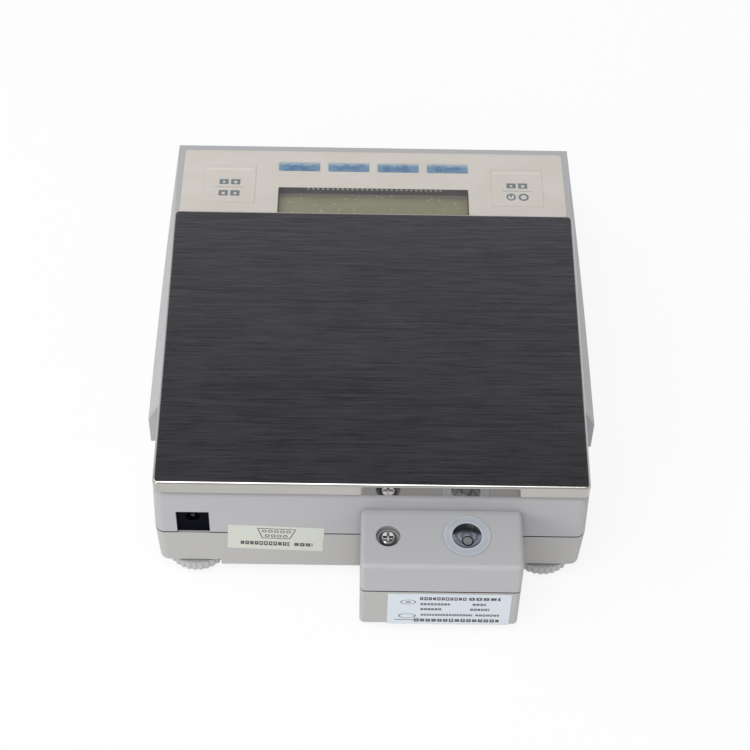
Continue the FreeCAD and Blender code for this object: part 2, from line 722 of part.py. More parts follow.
def make_lower_housing():
    """Lower shell: tray with raised corners over the feet and a way into the rear block."""
    base = num("base_level")
    seam = num("seam_level")
    groove = num("seam_groove")
    wall = num("wall")
    floor = num("floor_top")
    body = fillet_where(base_solid(0, base, seam - groove), num("base_round"),
                        lambda edge: edge.BoundBox.ZMax < base + TOUCH)
    body = body.fuse(base_solid(groove, seam - groove, seam)).cut(foot_recess(0))
    hollow = base_solid(wall, floor, seam + PAST).cut(foot_recess(wall))
    shell = body.cut(hollow.multiFuse([passage(floor, seam + PAST), jack_way()]))
    raised = num("foot_recess_level")
    bosses = pillars(feet_xy(), raised, num("insert_top"), num("foot_boss_radius"))
    posts = pillars(main_board_xy(), floor - PAST, num("main_board_level"), num("board_post_radius"))
    columns = pillars(case_screw_xy(), base, seam, num("case_post_radius"))
    shell = shell.multiFuse(bosses + posts + columns)
    holes = pillars(feet_xy(), raised - PAST, num("insert_top") + PAST, num("insert_radius"))
    bite = num("main_board_level") - num("board_screw_bite")
    holes += pillars(main_board_xy(), bite, num("main_board_level") + PAST, num("board_screw_radius"))
    holes += pillars(case_screw_xy(), base - PAST, num("case_screw_seat"),
                     num("case_screw_head") + num("case_screw_play"))
    holes += pillars(case_screw_xy(), base, seam + PAST, num("case_screw_radius"))
    holes += pillars(plate_screw_xy(), floor - num("plate_screw_bite"), floor + PAST,
                     num("board_screw_radius"))
    return shell.cut(holes[0].multiFuse(holes[1:])).removeSplitter()


def make_block_base():
    """Lower half of the rear block, with the column that its screw bites into."""
    base = num("base_level")
    seam = num("seam_level")
    groove = num("seam_groove")
    wall = num("wall")
    floor = num("floor_top")
    start = num("body_rear_y")
    outer = round_end(rear_block(0, start, base, seam - groove), 0, base)
    outer = outer.fuse(rear_block(groove, start, seam - groove, seam))
    inner = rear_block(wall, start - PAST, floor, seam + PAST)
    screw = [(num("block_screw_x"), num("block_screw_y"))]
    column = pillars(screw, base + wall / 2, seam, num("case_post_radius"))[0]
    hole = pillars(screw, num("block_screw_seat") - num("block_screw_length"), seam + PAST,
                   num("block_screw_shank"))[0]
    return outer.cut(inner).fuse(column).cut(hole).removeSplitter()


made("upper_housing", make_upper_housing())
made("rear_block_cover", make_block_cover())
made("lower_housing", make_lower_housing())
made("rear_block_base", make_block_base())

# ---------------------------------------------------------------- weighing pan

def make_pan():
    """Pan pressed from sheet: flat top, rounded corners and a skirt all round."""
    body = new_body("Pan")
    sketch = new_sketch(body, "XY_Plane", "skirt_bottom")
    polygon(sketch, [("-pan_half", "pan_front_y"), ("pan_half", "pan_front_y"),
                     ("pan_half", "pan_rear_y"), ("-pan_half", "pan_rear_y")])
    solid = pad(body, sketch, "pan_skirt")
    doc.recompute()
    corners = body.newObject("PartDesign::Fillet", "Corners")
    corners.Base = (solid, [f"Edge{i}" for i, edge in enumerate(solid.Shape.Edges, 1) if is_upright(edge)])
    bind(corners, Radius="pan_corner")
    doc.recompute()
    top = num("overall_height") - TOUCH
    rim = body.newObject("PartDesign::Fillet", "Rim")
    rim.Base = (corners, [f"Face{i}" for i, face in enumerate(corners.Shape.Faces, 1)
                          if face.BoundBox.ZMin > top])
    bind(rim, Radius="pan_edge_round")
    doc.recompute()
    inside = new_sketch(body, "XY_Plane", "skirt_bottom")
    polygon(inside, [("-pan_half + pan_sheet", "pan_front_y + pan_sheet"),
                     ("pan_half - pan_sheet", "pan_front_y + pan_sheet"),
                     ("pan_half - pan_sheet", "pan_rear_y - pan_sheet"),
                     ("-pan_half + pan_sheet", "pan_rear_y - pan_sheet")])
    before = rim.Shape.Volume
    hollow = body.newObject("PartDesign::Pocket", "Hollow")
    hollow.Profile = inside
    hollow.Reversed = True
    bind(hollow, Length="pan_skirt - pan_sheet")
    doc.recompute()
    if hollow.Shape.Volume >= before:
        raise RuntimeError("the hollow of the pan cuts nothing")
    return body


node("weighing_pan", make_pan())

post_places = [(f"{x} * post_half_x", f"pan_mid_y + {y} * post_half_y") for y in (-1, 1) for x in (1, -1)]
socket_bore = "buffer_radius + socket_clearance"

node("pan_sockets", group([
    cut(rod(x, y, ("pan_underside - socket_height", "pan_underside"), f"{socket_bore} + socket_wall"),
        [rod(x, y, past("pan_underside - socket_height", "pan_underside"), socket_bore)])
    for x, y in post_places]))

node("pan_buffers", group([
    cut(rod(x, y, ("buffer_bottom", "pan_underside"), "buffer_radius"),
        [rod(x, y, (f"buffer_bottom - {PAST}", "post_top"), "post_radius")])
    for x, y in post_places]))

# ---------------------------------------------------------------- carrier, load cell and base plate

free_screw_y = [f"cell_rear_y - spacer_length / 2 + {side} * cell_screw_pitch / 2" for side in (-1, 1)]
fixed_screw_y = [f"cell_front_y + spacer_length / 2 + {side} * cell_screw_pitch / 2" for side in (-1, 1)]


def make_carrier():
    """Cast frame: a spine over the load cell, two cross bars and the four posts."""
    levels = ("carrier_bottom", "carrier_top")
    spine = block(("-spine_width / 2", "spine_width / 2"),
                  ("pan_mid_y - post_half_y - bar_width / 2", "cell_rear_y + spine_end"), levels)
    bars = [block(("-post_half_x - bar_width / 2", "post_half_x + bar_width / 2"),
                  (f"pan_mid_y + {side} * post_half_y - bar_width / 2",
                   f"pan_mid_y + {side} * post_half_y + bar_width / 2"), levels) for side in (-1, 1)]
    bars = [round_edges(bar, "plan_round", is_upright) for bar in bars]
    posts = [rod(x, y, (f"carrier_top - {PAST}", "post_top"), "post_radius") for x, y in post_places]
    feet = [rod(x, y, (f"carrier_top - {PAST}", "buffer_bottom"), "post_foot_radius")
            for x, y in post_places]
    holes = [rod("0", y, past("carrier_bottom", "carrier_top"), "cell_screw_radius") for y in free_screw_y]
    return cut(fuse([spine] + bars + posts + feet), holes)


node("pan_carrier", make_carrier())

node("cell_top_spacer", cut(
    block(("-cell_width / 2", "cell_width / 2"), ("cell_rear_y - spacer_length", "cell_rear_y"),
          ("cell_top", "carrier_bottom")),
    [rod("0", y, past("cell_top", "carrier_bottom"), "cell_screw_radius") for y in free_screw_y]))

node("cell_base_spacer", cut(
    block(("-cell_width / 2", "cell_width / 2"), ("cell_front_y", "cell_front_y + spacer_length"),
          ("plate_top", "cell_bottom")),
    [rod("0", y, past("plate_top", "cell_bottom"), "cell_screw_radius") for y in fixed_screw_y]))


def make_load_cell():
    """Single-point load cell: a bar with a double bore that leaves four thin flexures."""
    bar = block(("-cell_width / 2", "cell_width / 2"), ("cell_front_y", "cell_rear_y"),
                ("cell_bottom", "cell_top"))
    middle = "(cell_bottom + cell_top) / 2"
    side = f"-cell_width / 2 - {PAST}"
    bores = [rod_along(Vector(1, 0, 0), (side, f"pan_mid_y + {end} * cell_bore_pitch / 2", middle),
                       f"cell_width + 2 * {PAST}", "cell_bore_radius") for end in (-1, 1)]
    slot = block(past("-cell_width / 2", "cell_width / 2"),
                 ("pan_mid_y - cell_bore_pitch / 2", "pan_mid_y + cell_bore_pitch / 2"),
                 (f"{middle} - cell_slot / 2", f"{middle} + cell_slot / 2"))
    free = [rod("0", y, past("cell_top - cell_thread_depth", "cell_top"),
                "cell_screw_radius + stud_clearance") for y in free_screw_y]
    fixed = [rod("0", y, past("cell_bottom", "cell_top"), "cell_screw_radius") for y in fixed_screw_y]
    return cut(bar, bores + [slot] + free + fixed)


node("load_cell", make_load_cell())

node("strain_gauges", group([
    centred("0", f"pan_mid_y + {side} * cell_bore_pitch / 2", levels, "gauge_width", "gauge_length")
    for side in (-1, 1)
    for levels in (("cell_top", "cell_top + gauge_thick"), ("cell_bottom - gauge_thick", "cell_bottom"))]))

plate_screws = [(f"{x} * (plate_width / 2 - plate_margin)", y) for x in (1, -1)
                for y in ("cell_front_y + plate_margin", "cell_rear_y - plate_margin")]
stop_y = "cell_rear_y - spacer_length / 2"

node("base_plate", cut(
    block(("-plate_width / 2", "plate_width / 2"),
          ("cell_front_y - plate_margin", "cell_rear_y + plate_rear"), ("floor_top", "plate_top")),
    [rod("0", y, ("floor_top + plate_floor", f"plate_top + {PAST}"), "cell_screw_radius")
     for y in fixed_screw_y + [stop_y]]
    + [rod(x, y, past("floor_top", "plate_top"), "board_screw_radius") for x, y in plate_screws]))

node("overload_stop", fuse([
    rod("0", stop_y, ("floor_top + plate_floor", "plate_top"), "cell_screw_radius"),
    rod("0", stop_y, ("plate_top", "cell_bottom - stop_gap"), "stop_radius")]))

node("carrier_screws", group([
    pan_head_screw("0", y, "carrier_top", "cell_screw_head", "cell_screw_head_height", "cell_screw_radius",
                   "carrier_top - cell_top + cell_thread_depth") for y in free_screw_y]))

node("cell_base_screws", group([
    pan_head_screw("0", y, "cell_top", "cell_screw_head", "cell_screw_head_height", "cell_screw_radius",
                   "cell_top - floor_top - plate_floor") for y in fixed_screw_y]))

node("base_plate_screws", group([
    pan_head_screw(x, y, "plate_top", "board_screw_head", "board_screw_head_height", "board_screw_radius",
                   "plate_thick + plate_screw_bite") for x, y in plate_screws]))

# ---------------------------------------------------------------- main board

board_posts = [(x, y) for x in ("main_board_x + boss_inset", "main_board_x + main_board_width - boss_inset")
               for y in ("main_board_y + boss_inset", "main_board_y + main_board_length - boss_inset")]

node("main_board", cut(
    block(("main_board_x", "main_board_x + main_board_width"),
          ("main_board_y", "main_board_y + main_board_length"), ("main_board_level", "main_board_top")),
    [rod(x, y, past("main_board_level", "main_board_top"), "board_screw_radius") for x, y in board_posts]))

# Parts on the main board: offset from its middle across and along, height, then width and length.
FLAT_PARTS = [(0, 0, 1.8, 14, 14), (14, -20, 1.6, 8, 6), (-14, 18, 3, 5, 10)]
# Capacitors on the main board: offset from its middle across and along, height and radius.
ROUND_PARTS = [(12, 22, 11, 5), (14, 8, 8, 3.2)]


def on_board(across, along, height):
    """Place and levels of a part on the main board."""
    return (f"main_board_x + main_board_width / 2 + {across}",
            f"main_board_y + main_board_length / 2 + {along}",
            ("main_board_top", f"main_board_top + {height}"))


node("board_parts", group(
    [centred(*on_board(across, along, height), str(width), str(length))
     for across, along, height, width, length in FLAT_PARTS]
    + [rod(*on_board(across, along, height), str(radius)) for across, along, height, radius in ROUND_PARTS]))

node("board_screws", group([
    pan_head_screw(x, y, "main_board_top", "board_screw_head", "board_screw_head_height",
                   "board_screw_radius", "board_thick + board_screw_bite - board_screw_end")
    for x, y in board_posts]))

# ---------------------------------------------------------------- power socket

def make_jack():
    """Power socket: a body in the rear wall's opening, a flange behind the wall and a barrel bore."""
    rear = "body_rear_y - wall"
    front = "body_rear_y - jack_front"
    half = "(jack_opening_width / 2 - jack_gap)"
    face = block((f"jack_x - {half}", f"jack_x + {half}"), (f"{rear} - jack_depth", front),
                 ("jack_low + jack_gap", "jack_high - jack_gap"))
    flange = block((f"jack_x - {half} - jack_flange", f"jack_x + {half} + jack_flange"),
                   (f"{rear} - jack_flange_thick", rear), ("jack_low + jack_gap", "jack_high + jack_flange"))
    bore = rod_along(Vector(0, 1, 0), ("jack_x", f"{front} - jack_bore_depth", "jack_bore_level"),
                     f"jack_bore_depth + {PAST}", "jack_bore_radius")
    return cut(fuse([face, flange]), [bore])


node("dc_jack", make_jack())

node("jack_pin", rod_along(
    Vector(0, 1, 0), ("jack_x", "body_rear_y - jack_front - jack_bore_depth", "jack_bore_level"),
    "jack_bore_depth - jack_pin_setback", "jack_pin_radius"))

# ---------------------------------------------------------------- front panel pieces

def on_panel(item):
    """Move an object that is drawn in the panel's own plane to the sloping panel."""
    bind(item, Placement__Base__y="panel_start_y", Placement__Base__z="deck_level")
    item.Placement.Rotation = Rotation(Vector(1, 0, 0), num("panel_slope"))
    return item


def on_slope(items):
    """Group of pieces drawn in the panel's plane, moved to the sloping panel as one object."""
    return on_panel(group(items))


def make_overlay():
    """Printed overlay with windows for the keys and the display."""
    film = rounded_slab("0", "-(overlay_start + overlay_end) / 2",
                        ("-overlay_recess", "overlay_thick - overlay_recess"),
                        "2 * overlay_half", "overlay_end - overlay_start", "overlay_corner")
    through = past("-overlay_recess", "overlay_thick")
    holes = [rounded_slab(x, y, through, f"{width} + 2 * key_gap", f"{depth} + 2 * key_gap", "key_corner")
             for x, y, width, depth in key_formulas()]
    window = rounded_slab("0", "-window_place", through, "window_width", "window_depth", "window_corner")
    return on_panel(cut(film, holes + [window]))


node("keypad_overlay", make_overlay())

key_labels = ["key_tare", "key_power"]
key_labels += [f"function_key_{index + 1}" for index in range(SIZES["small_key_count"])]
for label, (x, y, width, depth) in zip(key_labels, key_formulas()):
    cap = rounded_slab(x, y, ("key_bottom + key_flange_thick / 2", "key_rise"), width, depth, "key_corner")
    flange = centred(x, y, ("key_bottom", "key_bottom + key_flange_thick"), f"{width} + 2 * key_flange",
                     f"{depth} + 2 * key_flange")
    node(label, on_panel(fuse([cap, flange])))
    node(f"{label}_plunger", on_slope([rod(x, y, ("plunger_bottom", "key_bottom"), "plunger_radius")]))

node("tact_switches", on_slope([
    cut(centred(x, y, ("board_top", "switch_top"), "switch_body", "switch_body"),
        [rod(x, y, ("plunger_bottom - key_travel - plunger_play", f"switch_top + {PAST}"),
             "plunger_radius + plunger_play")])
    for x, y, _, _ in key_formulas()]))

node("display_window", on_slope([rounded_slab(
    "0", "-window_place", ("-window_thick", "overlay_thick - overlay_recess"), "window_width",
    "window_depth", "window_corner")]))

glass_size = ("window_width + 2 * glass_margin", "window_depth + 2 * glass_margin")
node("lcd_glass", on_slope([centred(
    "0", "-window_place", ("glass_top - glass_thick", "glass_top"), *glass_size)]))

node("lcd_backlight", on_slope([centred(
    "0", "-window_place", ("board_top", "glass_top - glass_thick"), *glass_size)]))

node("lcd_contacts", on_slope([
    centred(f"({index} - (contact_count - 1) / 2) * contact_pitch", "window_front - contact_setback",
            ("glass_top", "glass_top + contact_thick"), "contact_width", "contact_length")
    for index in range(SIZES["contact_count"])]))

boss_places = [(f"{side} * panel_boss_x", along) for side in (1, -1)
               for along in ("panel_boss_back", "panel_boss_front")]
node("display_board", on_panel(cut(
    block(("-panel_board_half", "panel_board_half"), ("-panel_board_end", "-panel_board_start"),
          ("board_bottom", "board_top")),
    [rod(x, y, past("board_bottom", "board_top"), "board_screw_radius") for x, y in boss_places])))

node("display_board_screws", on_slope([
    pan_head_screw(x, y, "board_bottom", "board_screw_head", "board_screw_head_height", "board_screw_radius",
                   "board_thick + board_screw_bite - board_screw_end", up=-1) for x, y in boss_places]))

# ---------------------------------------------------------------- levelling feet

def make_wheel(x, y):
    """Knurled foot wheel: a disc with scallops all round, and a recess for the rubber pad."""
    body = new_body("Wheel")
    sketch = new_sketch(body, "XY_Plane")
    circle(sketch, "0", "0", "wheel_radius")
    circle(sketch, "0", "0", "stud_radius")
    disc = pad(body, sketch, "wheel_height")
    doc.recompute()
    scallop = new_sketch(body, "XY_Plane")
    circle(scallop, "wheel_radius + knurl_offset", "0", "knurl_radius")
    groove = body.newObject("PartDesign::Pocket", "Scallop")
    groove.Profile = scallop
    groove.Reversed = True
    groove.Type = "ThroughAll"
    groove.Midplane = True
    doc.recompute()
    if groove.Shape.Volume >= disc.Shape.Volume:
        raise RuntimeError("the scallop of the foot wheel cuts nothing")
    pattern = body.newObject("PartDesign::PolarPattern", "Knurls")
    pattern.Originals = [groove]
    pattern.Axis = (sketch, ["N_Axis"])
    pattern.Angle = 360
    bind(pattern, Occurrences="knurl_count")
    body.Tip = pattern
    return bind(body, Placement__Base__x=x, Placement__Base__y=y, Placement__Base__z="wheel_level")


foot_places = [(x, y) for y in ("foot_front_y", "foot_rear_y") for x in ("foot_half_x", "-foot_half_x")]
for index, (x, y) in enumerate(foot_places, start=1):
    node(f"foot_wheel_{index}", make_wheel(x, y))
    stud = cut(rod(x, y, ("wheel_level", "stud_top"), "stud_radius"),
               [rod(x, y, (f"wheel_level - {PAST}", "wheel_level + foot_pin_hole"),
                    "foot_pad_pin + stud_clearance")])
    node(f"foot_stud_{index}", stud)
    node(f"foot_pad_{index}", fuse([
        rod(x, y, ("0", "wheel_level"), "foot_pad_radius"),
        rod(x, y, (f"wheel_level - {PAST}", "wheel_level + foot_pin_length"), "foot_pad_pin")]))

node("foot_inserts", group([
    cut(rod(x, y, ("foot_recess_level", "insert_top"), "insert_radius"),
        [rod(x, y, past("foot_recess_level", "insert_top"), "stud_radius + stud_clearance")])
    for x, y in foot_places]))

# ---------------------------------------------------------------- labels and spirit level

port_label = doc.addObject("Part::Box", "PortLabel")
bind(port_label, Length="port_label_width", Width="label_thick", Height="port_label_height")
port_turn = Rotation(Vector(0, 1, 0), -num("port_label_turn"))
corner = port_turn.multVec(Vector(-num("port_label_width") / 2, 0, -num("port_label_height") / 2))
port_label.Placement = Placement(
    Vector(num("port_label_x"), num("body_rear_y"), num("port_label_level")) + corner, port_turn)
node("port_label", port_label)

node("rating_label", block(
    ("rating_label_x - rating_label_width / 2", "rating_label_x + rating_label_width / 2"),
    ("block_rear_y", "block_rear_y + label_thick"),
    ("rating_label_level - rating_label_height / 2", "rating_label_level + rating_label_height / 2")))

node("level_ring", cut(
    rod("level_x", "level_y", ("level_ring_bottom", "level_ring_top"), "level_ring_radius"),
    [rod("level_x", "level_y", ("vial_bottom", f"level_ring_top + {PAST}"), "level_window_radius")]))

bubble_levels = ("bubble_bottom", "bubble_top")
node("level_vial", cut(
    rod("level_x", "level_y", ("vial_bottom", "vial_top"), "level_window_radius"),
    [rod("bubble_x", "bubble_y", bubble_levels, "bubble_radius")]))

node("level_bubble", rod("bubble_x", "bubble_y", bubble_levels, "bubble_radius"))

# ---------------------------------------------------------------- housing screws

def make_block_screw():
    """Screw of the rear block, with a cross recess in its head."""
    screw = pan_head_screw("block_screw_x", "block_screw_y", "block_screw_seat", "block_screw_head",
                           "block_screw_head_height", "block_screw_shank",
                           "block_screw_length - block_screw_end")
    head_top = "block_screw_seat + block_screw_head_height"
    levels = (f"{head_top} - cross_depth", f"{head_top} + {PAST}")
    arms = (("cross_length", "cross_width"), ("cross_width", "cross_length"))
    return cut(screw, [centred("block_screw_x", "block_screw_y", levels, width, depth)
                       for width, depth in arms])


node("block_screw", make_block_screw())

case_places = [(f"{side} * case_front_x", "case_front_y") for side in (1, -1)]
case_places += [(f"{side} * case_rear_x", "case_rear_y") for side in (1, -1)]
node("case_screws", group([
    pan_head_screw(x, y, "case_screw_seat", "case_screw_head", "case_screw_head_height", "case_screw_radius",
                   "case_screw_top - case_screw_seat", up=-1) for x, y in case_places]))

# ---------------------------------------------------------------- internal leads

def lead(points, radius):
    """Lead along straight runs joined by tangent arcs."""
    edges = []
    start = points[0]
    for before, corner_point, after in zip(points, points[1:], points[2:]):
        inward = (corner_point - before).normalize()
        outward = (after - corner_point).normalize()
        half_turn = inward.getAngle(outward) / 2
        reach = num("bend_share") * min((corner_point - before).Length, (after - corner_point).Length)
        bend = reach / math.tan(half_turn)
        first = corner_point - inward * reach
        last = corner_point + outward * reach
        toward = (outward - inward).normalize()
        middle = corner_point + toward * (bend / math.cos(half_turn) - bend)
        edges.append(Part.LineSegment(start, first).toShape())
        edges.append(Part.Arc(first, middle, last).toShape())
        start = last
    edges.append(Part.LineSegment(start, points[-1]).toShape())
    path = Part.Wire(edges)
    profile = Part.Wire([Part.Circle(points[0], points[1] - points[0], radius).toShape()])
    return path.makePipeShell([profile], True, False)


def make_power_leads():
    """Two leads from the socket's rear down to the main board."""
    jack_back = num("body_rear_y") - num("wall") - num("jack_depth")
    board_y = num("main_board_y") + num("main_board_length")
    radius = num("lead_radius")
    top = num("main_board_top") + radius
    level = num("jack_low") + num("lead_rise")
    leads = []
    for side in (-1, 1):
        x = num("jack_x") - num("lead_shift") + side * num("lead_pitch") / 2
        points = [Vector(x, jack_back, level),
                  Vector(x, jack_back - num("lead_exit"), level),
                  Vector(x, board_y + num("lead_clear"), (level + top) / 2),
                  Vector(x, board_y - num("lead_landing"), top),
                  Vector(x, board_y - num("lead_end"), top)]
        leads.append(lead(points, radius))
    return Part.makeCompound(leads)


def make_cell_lead():
    """Lead from the load cell's side round to the main board."""
    radius = num("lead_radius")
    clear = num("lead_clear")
    away = num("lead_exit")
    x = num("cell_width") / 2
    y = num("cell_front_y") + num("spacer_length") + clear
    level = num("cell_bottom") + clear
    board = num("main_board_x")
    top = num("main_board_top") + radius
    points = [Vector(x, y, level),
              Vector(x + away, y, level),
              Vector(board - num("lead_landing"), y + clear, top + radius),
              Vector(board + clear, y + away, top),
              Vector(board + num("lead_end"), y + away, top)]
    return lead(points, radius)


def make_ribbon():
    """Flat cable from the display board down to the main board."""
    x = num("main_board_x") + num("ribbon_inset")
    inset = num("ribbon_inset")
    start = panel_placement().multVec(Vector(0, -num("panel_board_start") - inset, num("board_bottom")))
    top = num("main_board_top")
    board = num("main_board_y")
    thick = num("ribbon_thick")
    rise = start.z + thick * math.tan(math.radians(num("panel_slope")))
    under = [Vector(x, start.y, start.z),
             Vector(x, start.y, start.z - inset),
             Vector(x, board - inset, top + inset / 2),
             Vector(x, board + inset / 2, top),
             Vector(x, board + 2 * inset, top)]
    over = [Vector(x, board + 2 * inset, top + thick),
            Vector(x, board + inset / 2 + thick, top + thick),
            Vector(x, board - inset + thick, top + inset / 2 + thick),
            Vector(x, start.y + thick, start.z - inset + thick),
            Vector(x, start.y + thick, rise)]
    return polygon_prism(under + over, Vector(num("ribbon_width"), 0, 0))


made("power_leads", make_power_leads())
made("cell_lead", make_cell_lead())
made("display_ribbon", make_ribbon())

# ---------------------------------------------------------------- checks and files

doc.recompute()
faults = [f"{item.Name} {item.Label} {item.State}" for item in doc.Objects
          if "Invalid" in item.State or "Error" in item.State]
for label, item in NODES.items():
    shape = item.Shape
    if shape.isNull() or not shape.isValid() or not shape.Solids:
        faults.append(f"{label} has no valid solid")
if faults:
    raise RuntimeError("; ".join(faults))
os.makedirs("parts", exist_ok=True)
for label, item in NODES.items():
    item.Shape.exportStep(os.path.join("parts", f"{label}.step"))
    box = item.Shape.BoundBox
    print(f"{label:22s} solids {len(item.Shape.Solids)}  x {box.XMin:.1f}..{box.XMax:.1f}  "
          f"y {box.YMin:.1f}..{box.YMax:.1f}  z {box.ZMin:.1f}..{box.ZMax:.1f}")
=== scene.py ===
"""Looks of an electronic top-loading balance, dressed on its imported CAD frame."""
import logging
import math
from dataclasses import dataclass
from enum import Enum
from typing import Optional, Sequence, Union

import bpy
from mathutils import Matrix, Vector


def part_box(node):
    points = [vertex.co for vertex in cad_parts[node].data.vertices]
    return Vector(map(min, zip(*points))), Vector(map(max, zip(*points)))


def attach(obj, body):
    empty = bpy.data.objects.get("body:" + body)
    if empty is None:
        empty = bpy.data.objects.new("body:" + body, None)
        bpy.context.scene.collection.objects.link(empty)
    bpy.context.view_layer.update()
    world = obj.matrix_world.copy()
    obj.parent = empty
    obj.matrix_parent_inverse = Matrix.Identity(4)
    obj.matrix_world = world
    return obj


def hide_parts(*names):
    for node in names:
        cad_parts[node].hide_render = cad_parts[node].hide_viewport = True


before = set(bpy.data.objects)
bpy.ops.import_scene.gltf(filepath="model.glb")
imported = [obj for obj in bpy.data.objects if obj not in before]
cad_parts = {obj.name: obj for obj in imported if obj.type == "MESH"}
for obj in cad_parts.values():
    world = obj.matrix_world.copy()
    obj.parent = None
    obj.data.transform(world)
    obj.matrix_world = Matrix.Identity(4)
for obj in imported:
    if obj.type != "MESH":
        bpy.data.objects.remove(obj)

LOG = logging.getLogger("balance")
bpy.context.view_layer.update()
MM = 0.001
PANEL_SLOPE = math.radians(8.5)
PORT_LABEL_TURN = math.radians(2.9)

Colour = tuple[float, float, float]
Paint = Union[Colour, bpy.types.NodeSocket]
Number = Union[int, float, "Signal"]


# ---------------------------------------------------------------- shader maths

class Signal:
    """A number that varies over a surface, carried by a node socket."""

    def __init__(self, graph: "Graph", socket: bpy.types.NodeSocket) -> None:
        """Wrap a socket of a graph.

        Args:
            graph: The graph that holds the node.
            socket: The output socket that carries the number.
        """
        self.graph = graph
        self.socket = socket

    def apply(self, operation: str, *others: Number) -> "Signal":
        """Add a Math node that starts from this number.

        Args:
            operation: Name of the Math operation.
            others: The operation's other inputs.

        Returns:
            The node's result.
        """
        return self.graph.math(operation, self, *others)

    def __add__(self, other: Number) -> "Signal":
        """Sum."""
        return self.apply("ADD", other)

    __radd__ = __add__

    def __sub__(self, other: Number) -> "Signal":
        """Difference."""
        return self.apply("SUBTRACT", other)

    def __rsub__(self, other: Number) -> "Signal":
        """Difference with this number taken away."""
        return self.graph.math("SUBTRACT", other, self)

    def __mul__(self, other: Number) -> "Signal":
        """Product."""
        return self.apply("MULTIPLY", other)

    __rmul__ = __mul__

    def __truediv__(self, other: Number) -> "Signal":
        """Quotient."""
        return self.apply("DIVIDE", other)

    def __abs__(self) -> "Signal":
        """Absolute value."""
        return self.apply("ABSOLUTE")

    def __lt__(self, other: Number) -> "Signal":
        """1 where this number is below the other, otherwise 0."""
        return self.apply("LESS_THAN", other)

    def __gt__(self, other: Number) -> "Signal":
        """1 where this number is above the other, otherwise 0."""
        return self.apply("GREATER_THAN", other)

    def __or__(self, other: Number) -> "Signal":
        """Larger of the two, the union of masks."""
        return self.apply("MAXIMUM", other)

    def __and__(self, other: Number) -> "Signal":
        """Smaller of the two, the overlap of masks."""
        return self.apply("MINIMUM", other)

    def step(self, low: float, high: float) -> "Signal":
        """Smooth rise from 0 at low to 1 at high.

        Args:
            low: Value that gives 0.
            high: Value that gives 1.

        Returns:
            The eased number.
        """
        inputs = {"Value": self, "From Min": low, "From Max": high}
        ramp = self.graph.node("ShaderNodeMapRange", {"interpolation_type": "SMOOTHSTEP"}, inputs)
        return Signal(self.graph, ramp.outputs["Result"])

    def wave(self, length: float) -> "Signal":
        """Waves between 0 and 1.

        Args:
            length: Length of one wave.

        Returns:
            The waves.
        """
        return (self * (2 * math.pi / length)).apply("SINE") * 0.5 + 0.5


@dataclass
class Place:
    """Coordinates of a surface point."""

    x: Signal
    y: Signal
    z: Signal
    vector: bpy.types.NodeSocket

    def radius(self) -> Signal:
        """Distance from the upright axis through the origin."""
        return (self.x * self.x + self.y * self.y).apply("SQRT")


